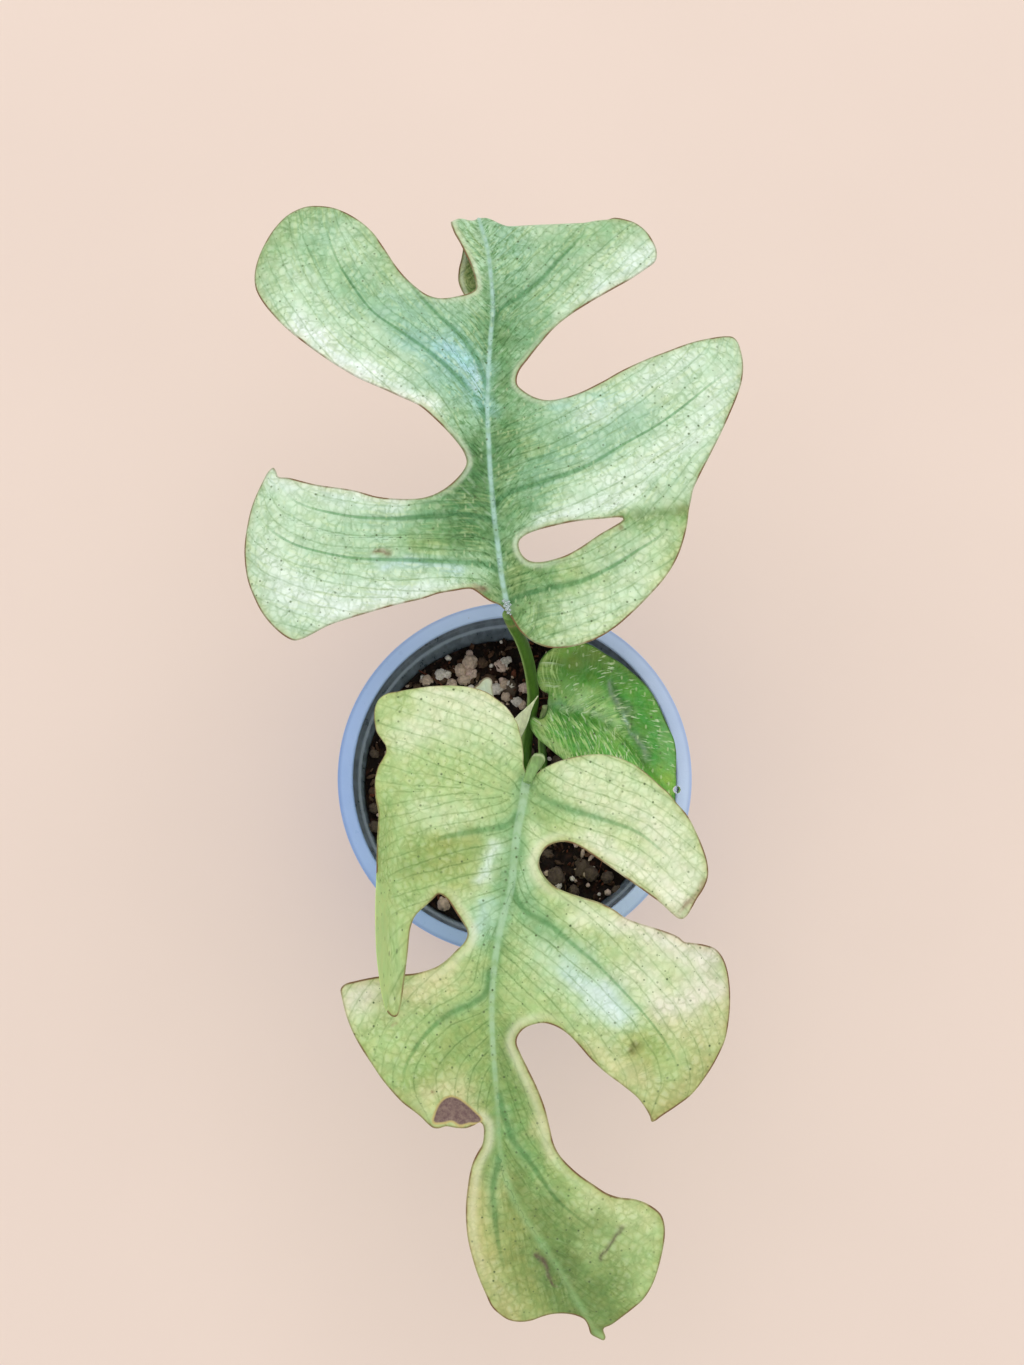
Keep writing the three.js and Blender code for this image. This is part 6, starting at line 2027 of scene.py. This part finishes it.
def from_top(angle):
    """Angle from the upper side of a tube, from -pi to pi."""
    return np.angle(np.exp(1j * (angle - math.pi / 2)))


def grooved(depth):
    """A round section with the shallow groove that a leaf stalk has along its upper side."""
    return lambda angle: 1 - depth * bump(from_top(angle), 0.5)


def capped(rows):
    """Rows of a tube's rings, with those of the two points that close its ends."""
    return np.vstack([rows, rows[:1], rows[-1:]])


def stalk_tone(settings, points, sides, steps, marks):
    """Colour by point of a tube: the stalk's green, painted paler on its left as a painted highlight and
    darker on its right as painted shade, and marks along it.

    A mark is (hex colour, place along the stalk, half width, strength).
    """
    rings = points[:(steps + 1) * sides].reshape(steps + 1, sides, 3)
    offset = rings - rings.mean(1, keepdims=True)
    side = (offset[..., 0] / np.abs(offset).max((1, 2))[:, None]).ravel()
    base = np.array(settings.stalk_colour)[:3]
    pale = np.array(settings.lit_side_colour)[:3]
    # Painted highlight on the left side of the stalk, then painted shade on its right.
    rows = base + (pale - base) * (0.8 * ramp(side, -0.35, -0.85))[:, None]
    rows = rows * (1 - 0.4 * ramp(side, 0.2, 0.8))[:, None]
    along = np.repeat(np.linspace(0, 1, steps + 1), sides)
    for colour, centre, width, strength in marks:
        weight = (strength * bump(along - centre, width))[:, None]
        rows = rows * (1 - weight) + np.array(linear(colour)[:3]) * weight
    return tones(capped(rows))


def spear_tone(settings):
    """Colour by point of the sheath: darker along the groove of its seam on top, which is painted shade,
    and green towards its foot.
    """
    angle = np.linspace(0, math.tau, STALK_SIDES, endpoint=False)
    seam_shade = np.tile(1 - 0.25 * bump(from_top(angle), 0.25), STALK_STEPS + 1)[:, None]
    along = np.repeat(np.linspace(0, 1, STALK_STEPS + 1), STALK_SIDES)
    low = ramp(along, 0.45, 0.15)[:, None]
    base = np.array(settings.spear_colour)[:3]
    return tones(capped(base * seam_shade * (1 - 0.5 * low * (1 - np.array([0.6, 1.0, 0.4])))))


def stalk_skin(name, gloss):
    """Living stalk tissue: smooth skin over fibres that run its length."""
    material, tree, shader = new_material(name, IOR=1.4, Specular_IOR_Level=0.4, Roughness=gloss)
    place = millimetres(tree)
    tone = attribute(tree, "tone", "Color")
    stretched = put(tree, "VectorMath", [place, (1.0, 0.35, 0.22)], **TIMES)
    fibre = put(tree, "TexNoise", Vector=stretched, Scale=1.4, Detail=5.0)
    spots = put(tree, "TexNoise", Vector=place, Scale=0.5, Detail=3.0)
    value = times(tree, eased(tree, fibre, 0.3, 0.7, 0.86, 1.12),
                  eased(tree, spots, 0.3, 0.7, 0.93, 1.05))
    colour = put(tree, "HueSaturation", Value=value, Color=tone)
    tree.links.new(colour, shader.inputs["Base Color"])
    raise_shading(tree, shader, fibre, 0.15)
    return material


def build_stalk(name, node, settings, skin, route, radius_at, marks, groove=0.12,
                steps=STALK_STEPS, sides=STALK_SIDES):
    """One stalk as a closed tube along its centre line."""
    points, faces = tube(np.array(route, float), radius_at, steps, sides, grooved(groove))
    return make_piece(name, points + PLANT_PLACE, faces, [skin], replaced=[node],
                      values=stalk_tone(settings, points, sides, steps, marks))


def beads(name, node, material, drops):
    """Small flattened drops, given as (place in the plant's frame, radius)."""
    ball, faces = icosphere(3)
    parts = [(ball * radius * np.array([1, 1, 0.75]) + place, faces) for place, radius in drops]
    points, faces = joined(parts)
    return make_piece(name, points + PLANT_PLACE, faces, [material], replaced=[node])


# ---- Stage ----
CAMERA_PLACE = (-0.0008, -0.045, 0.5027)
SENSOR_WIDTH = 36
NEAREST_SEEN = 0.01
KEY_PLACE = (0.0, 0.85, 1.9)
KEY_AIM = (0, 0, 0.1)
KEY_SIZE = 2.0
SKY_STRENGTH = 0.9


def painted_board(settings):
    """Matt painted board: an even coat with hardly any sheen."""
    material, tree, shader = new_material("board_matt_painted", Roughness=0.9, Specular_IOR_Level=0.15)
    place = millimetres(tree)
    cloud = put(tree, "TexNoise", Vector=place, Scale=0.006, Detail=3.0)
    value = eased(tree, cloud, 0.3, 0.7, 0.985, 1.012)
    colour = put(tree, "HueSaturation", Value=value, Color=tuple(settings.floor_colour))
    tree.links.new(colour, shader.inputs["Base Color"])
    return material


def add_area_light(name, place, target, size, power, colour):
    """A round soft light turned towards a target."""
    light = bpy.data.lights.new(name, "AREA")
    light.shape = "DISK"
    light.size = size
    light.energy = power
    light.color = linear(colour)[:3]
    lamp = bpy.data.objects.new(name, light)
    lamp.location = place
    lamp.rotation_euler = (Vector(target) - Vector(place)).to_track_quat("-Z", "Y").to_euler()
    lamp.visible_camera = False
    bpy.context.scene.collection.objects.link(lamp)


# ---- Operators ----
class MONSTERA_OT_pot(bpy.types.Operator):
    """Build the nursery pot"""

    bl_idname = "monstera.pot"
    bl_label = "Nursery pot"

    def execute(self, context):
        settings = context.scene.monstera_pot
        points, faces = pot_mesh(settings)
        make_piece("nursery_pot", points, faces, [plastic(settings)], ["pot"], sharp=35)
        return {"FINISHED"}


class MONSTERA_OT_soil(bpy.types.Operator):
    """Build the potting mix and the grains on it"""

    bl_idname = "monstera.soil"
    bl_label = "Potting mix"

    def execute(self, context):
        settings = context.scene.monstera_soil
        points, faces = soil_mesh()
        shades = rough(points, 1.6, 13)[:, None]
        humus, bark = np.array(settings.humus), np.array(settings.bark)
        tone = humus + (bark - humus) * ramp(shades, 0.05, 0.55)
        damp = crumbled("coir_and_bark_composted_moist", 0.6, 1.3, 1.2)
        make_piece("potting_mix", points, faces, [damp], ["soil"],
                   values=tones(tone), sharp=70)
        points, faces, values = toned(all_grains(settings))
        dry = crumbled("perlite_and_bark_puffed_and_chipped", 0.72, 1.12, 0.9)
        make_piece("potting_mix_grains", points, faces, [dry], ["soil"], values=values)
        return {"FINISHED"}


class MONSTERA_OT_stalks(bpy.types.Operator):
    """Build the stem and the three leaf stalks"""

    bl_idname = "monstera.stalks"
    bl_label = "Stem and stalks"

    def execute(self, context):
        settings = context.scene.monstera_stalks
        skin = stalk_skin("living_stalk_smooth_skin", 0.36)
        scars = (("#7E8C45", 0.86, 0.03, 0.8), ("#8A7B48", 0.7, 0.015, 0.8),
                 ("#7A6A40", 0.5, 0.02, 0.7))
        knee = (("#5D7F3A", 0.98, 0.05, 0.8), ("#A5826A", 0.955, 0.008, 0.45))
        # On the lower stalk's knob, the darker band below its pale ring is painted shade where the stalk
        # turns down away from the light.
        knob = (("#86AA6A", 0.95, 0.12, 0.95), ("#C6DAAA", 0.85, 0.012, 0.8),
                ("#5E7E45", 0.81, 0.02, 0.6))
        joint = (("#A9B884", 0.97, 0.08, 0.7),)
        build_stalk("stem", "vine_stem", settings, skin, STEM_LINE, stem_radius, scars, 0)
        for name, node, route, radius_at, marks in (
                ("stalk_upper", "petiole_upper", UPPER_STALK, stalk_radius(1.68, 0.1, 0.12), knee),
                ("stalk_lower", "petiole_lower", LOWER_STALK, knee_radius, knob),
                ("stalk_small", "petiole_small", SMALL_STALK, stalk_radius(1.2, 0.1, 0), joint)):
            build_stalk(name, node, settings, skin, route, radius_at, marks)
        return {"FINISHED"}


class MONSTERA_OT_spear(bpy.types.Operator):
    """Build the pointed sheath of the next leaf"""

    bl_idname = "monstera.spear"
    bl_label = "Spear"

    def execute(self, context):
        settings = context.scene.monstera_stalks
        skin = stalk_skin("living_sheath_thin_matt", 0.5)
        points, faces = tube(SPEAR_LINE, spear_radius, STALK_STEPS, STALK_SIDES, grooved(0.16))
        make_piece("spear_sheath", points + PLANT_PLACE, faces, [skin], ["spear"],
                   values=spear_tone(settings))
        return {"FINISHED"}


class MONSTERA_OT_upper_leaf(bpy.types.Operator):
    """Build the five-lobed upper blade"""

    bl_idname = "monstera.upper_leaf"
    bl_label = "Upper leaf"

    def execute(self, context):
        settings = context.scene.monstera_leaves
        skins = [leaf_skin("living_leaf_waxed_upper_face", settings, rib_width=0.4, rib_share=0.7,
                           rib_colour="#B4D8D0", flecks=0.25, side_veins=1.15, lines=0.7),
                 leaf_skin("living_leaf_matt_underside", settings, under=True, net=0.7)]
        lift = step_across(UPPER_CREASE, 1.2, 10, 2, 27)
        build_blade("blade_upper", "leaf_upper", settings, [UPPER_OUTLINE, UPPER_HOLE],
                    UPPER_RIB, UPPER_LATERALS, upper_surface, "#C9E2C3", UPPER_STROKES, 21, skins,
                    "#8E9C58", creases=[UPPER_CREASE], lift=lift, under_share=0.8,
                    painted_sheens=UPPER_PAINTED_SHEENS, gap_share=1.3)
        # Dried sap has no colour of its own and scatters light in its crust: it is white and glossy.
        sap, _, _ = new_material("plant_sap_dried_beads", IOR=1.45, Roughness=0.12,
                                 Transmission_Weight=0.6, Base_Color=linear("#D3DEE2"))
        drops = [(upper_surface(np.array([u]), np.array([v]))[0] + (0, 0, 0.35), radius)
                 for u, v, radius in SAP_DROPS]
        beads("sap_beads", "leaf_upper", sap, drops)
        return {"FINISHED"}


class MONSTERA_OT_lower_leaf(bpy.types.Operator):
    """Build the long lower blade with its curled margin"""

    bl_idname = "monstera.lower_leaf"
    bl_label = "Lower leaf"

    def execute(self, context):
        settings = context.scene.monstera_leaves
        skins = [leaf_skin("living_leaf_waxed_lime_face", settings, net=0.8, hatch=0.2, comb=0.1,
                           rib_share=0.5, rib_width=1.2, rim_colour="#EFF0CE", lines=0.7,
                           side_veins=0.9, rib_colour="#B7D6B6", rib_until=92),
                 leaf_skin("living_leaf_matt_lime_underside", settings, under=True, net=0.3,
                           hatch=0.2)]
        build_blade("blade_lower", "leaf_lower", settings, [LOWER_OUTLINE], LOWER_RIB,
                    LOWER_LATERALS, lower_surface, LIME, LOWER_STROKES, 37, skins, "#BBDD70",
                    lift=sunken_patch, scorch=dead_patch, under_share=0.85, rim_width=1.2,
                    vein_tone="#94BC82", gap_share=1.12, rib_taper=0.85, painted_sheens=LOWER_PAINTED_SHEENS,
                    band_share=0.75, calm=curled, quiet=upper_lobes, rim_at=rimmed_part)
        return {"FINISHED"}


class MONSTERA_OT_small_leaf(bpy.types.Operator):
    """Build the small green blade and the drop of water on it"""

    bl_idname = "monstera.small_leaf"
    bl_label = "Small leaf"

    def execute(self, context):
        settings = context.scene.monstera_leaves
        skins = [leaf_skin("living_leaf_glossy_green_face", settings, gloss=0.26, net=0.3, hatch=0.8,
                           comb=1.0, comb_scale=1.7, comb_colour="#C3E496", comb_low=0.4, sided=True,
                           flecks=0.45, glints=0.85, rib_share=0.0, side_veins=0.1, lines=0.2,
                           margin_colour="#3F6B2A"),
                 leaf_skin("living_leaf_matt_green_underside", settings, under=True, net=0.7)]
        lift = step_across(SMALL_CREASE, 0.55, 4, 0, 6)
        build_blade("blade_small", "leaf_small", settings, [SMALL_OUTLINE], SMALL_RIB,
                    SMALL_LATERALS, small_surface, GRASS, SMALL_STROKES, 53, skins, "#7C9A52",
                    spacing=0.5, creases=[SMALL_CREASE], lift=lift, puff=0.45, wave=0.3, rim_width=0,
                    deep_at=combed_side, vein_tone="#62A048", gap_share=0.7)
        # Water is clear, so the drop shows as a bright rim with the leaf seen through it.
        water, _, _ = new_material("water_clear_drop", IOR=1.33, Roughness=0.02, Transmission_Weight=1.0)
        beads("dew_drop", "leaf_small", water, [((46.2, -4.3, 101.6), 1.15)])
        return {"FINISHED"}


class MONSTERA_OT_young_leaf(bpy.types.Operator):
    """Build the youngest leaf on its thin stalk"""

    bl_idname = "monstera.young_leaf"
    bl_label = "Young leaf"

    def execute(self, context):
        settings = context.scene.monstera_leaves
        skins = [leaf_skin("young_leaf_soft_face", settings, gloss=0.4, net=0, hatch=0, comb=0,
                           lines=0, side_veins=0.1, rib_share=0),
                 leaf_skin("young_leaf_soft_underside", settings, under=True, net=0.4)]
        build_blade("blade_young", "young_leaf", settings, [YOUNG_OUTLINE], YOUNG_RIB,
                    YOUNG_LATERALS, young_surface, MINT, YOUNG_STROKES, 71, skins, "#CFE6CF",
                    spacing=0.35, puff=0.1, wave=0.1, vein_tone="#E4F5E2")
        stalks = context.scene.monstera_stalks
        skin = stalk_skin("young_stalk_smooth_skin", 0.4)
        build_stalk("stalk_young", "young_leaf", stalks, skin, YOUNG_STALK,
                    lambda t: 0.9 - 0.2 * t, (("#CFE3C4", 1.0, 0.5, 0.8),), steps=60, sides=24)
        return {"FINISHED"}


class MONSTERA_OT_stage(bpy.types.Operator):
    """Set up floor, soft lights, world and camera"""

    bl_idname = "monstera.stage"
    bl_label = "Stage"

    def execute(self, context):
        settings = context.scene.monstera_stage
        reach = settings.floor_reach
        mesh = bpy.data.meshes.new("floor")
        corners = ((-reach, -reach, 0), (reach, -reach, 0), (reach, reach, 0), (-reach, reach, 0))
        mesh.from_pydata(corners, [], [(0, 1, 2, 3)])
        mesh.materials.append(painted_board(settings))
        floor = bpy.data.objects.new("floor", mesh)
        context.scene.collection.objects.link(floor)
        world = bpy.data.worlds.new("studio")
        world.use_nodes = True
        sky = world.node_tree.nodes["Background"]
        sky.inputs["Color"].default_value = linear("#FFFFFF")
        sky.inputs["Strength"].default_value = SKY_STRENGTH
        context.scene.world = world
        add_area_light("key_soft", KEY_PLACE, KEY_AIM, KEY_SIZE, settings.key_power, "#FFF8F0")
        view = bpy.data.cameras.new("camera")
        view.lens = settings.lens_mm
        view.sensor_width = SENSOR_WIDTH
        view.clip_start = NEAREST_SEEN
        camera = bpy.data.objects.new("camera", view)
        camera.location = CAMERA_PLACE
        camera.rotation_euler = (settings.camera_tilt, 0, 0)
        context.scene.collection.objects.link(camera)
        context.scene.camera = camera
        context.scene.view_settings.view_transform = "Standard"
        return {"FINISHED"}


OPERATORS = (
    MONSTERA_OT_pot, MONSTERA_OT_soil, MONSTERA_OT_stalks, MONSTERA_OT_spear, MONSTERA_OT_upper_leaf,
    MONSTERA_OT_lower_leaf, MONSTERA_OT_small_leaf, MONSTERA_OT_young_leaf, MONSTERA_OT_stage,
)


class MONSTERA_PT_sidebar(bpy.types.Panel):
    bl_label = "Potted mini monstera"
    bl_idname = "MONSTERA_PT_sidebar"
    bl_space_type = "VIEW_3D"
    bl_region_type = "UI"
    bl_category = "Monstera"

    def draw(self, context):
        for key in SETTINGS:
            group = getattr(context.scene, key)
            box = self.layout.box()
            for name in group.__annotations__:
                box.prop(group, name)
        for operator in OPERATORS:
            self.layout.operator(operator.bl_idname)


SETTINGS = {
    "monstera_leaves": MonsteraLeafSettings,
    "monstera_stalks": MonsteraStalkSettings,
    "monstera_pot": MonsteraPotSettings,
    "monstera_soil": MonsteraSoilSettings,
    "monstera_stage": MonsteraStageSettings,
}


def register():
    for group in SETTINGS.values():
        bpy.utils.register_class(group)
    for key, group in SETTINGS.items():
        setattr(bpy.types.Scene, key, PointerProperty(type=group))
    for made in OPERATORS + (MONSTERA_PT_sidebar,):
        bpy.utils.register_class(made)


def unregister():
    for made in reversed(OPERATORS + (MONSTERA_PT_sidebar,)):
        bpy.utils.unregister_class(made)
    for key, group in SETTINGS.items():
        delattr(bpy.types.Scene, key)
        bpy.utils.unregister_class(group)


def main():
    register()
    for operator in OPERATORS:
        family, name = operator.bl_idname.split(".")
        getattr(getattr(bpy.ops, family), name)()
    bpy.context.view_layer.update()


if __name__ == "__main__":
    main()
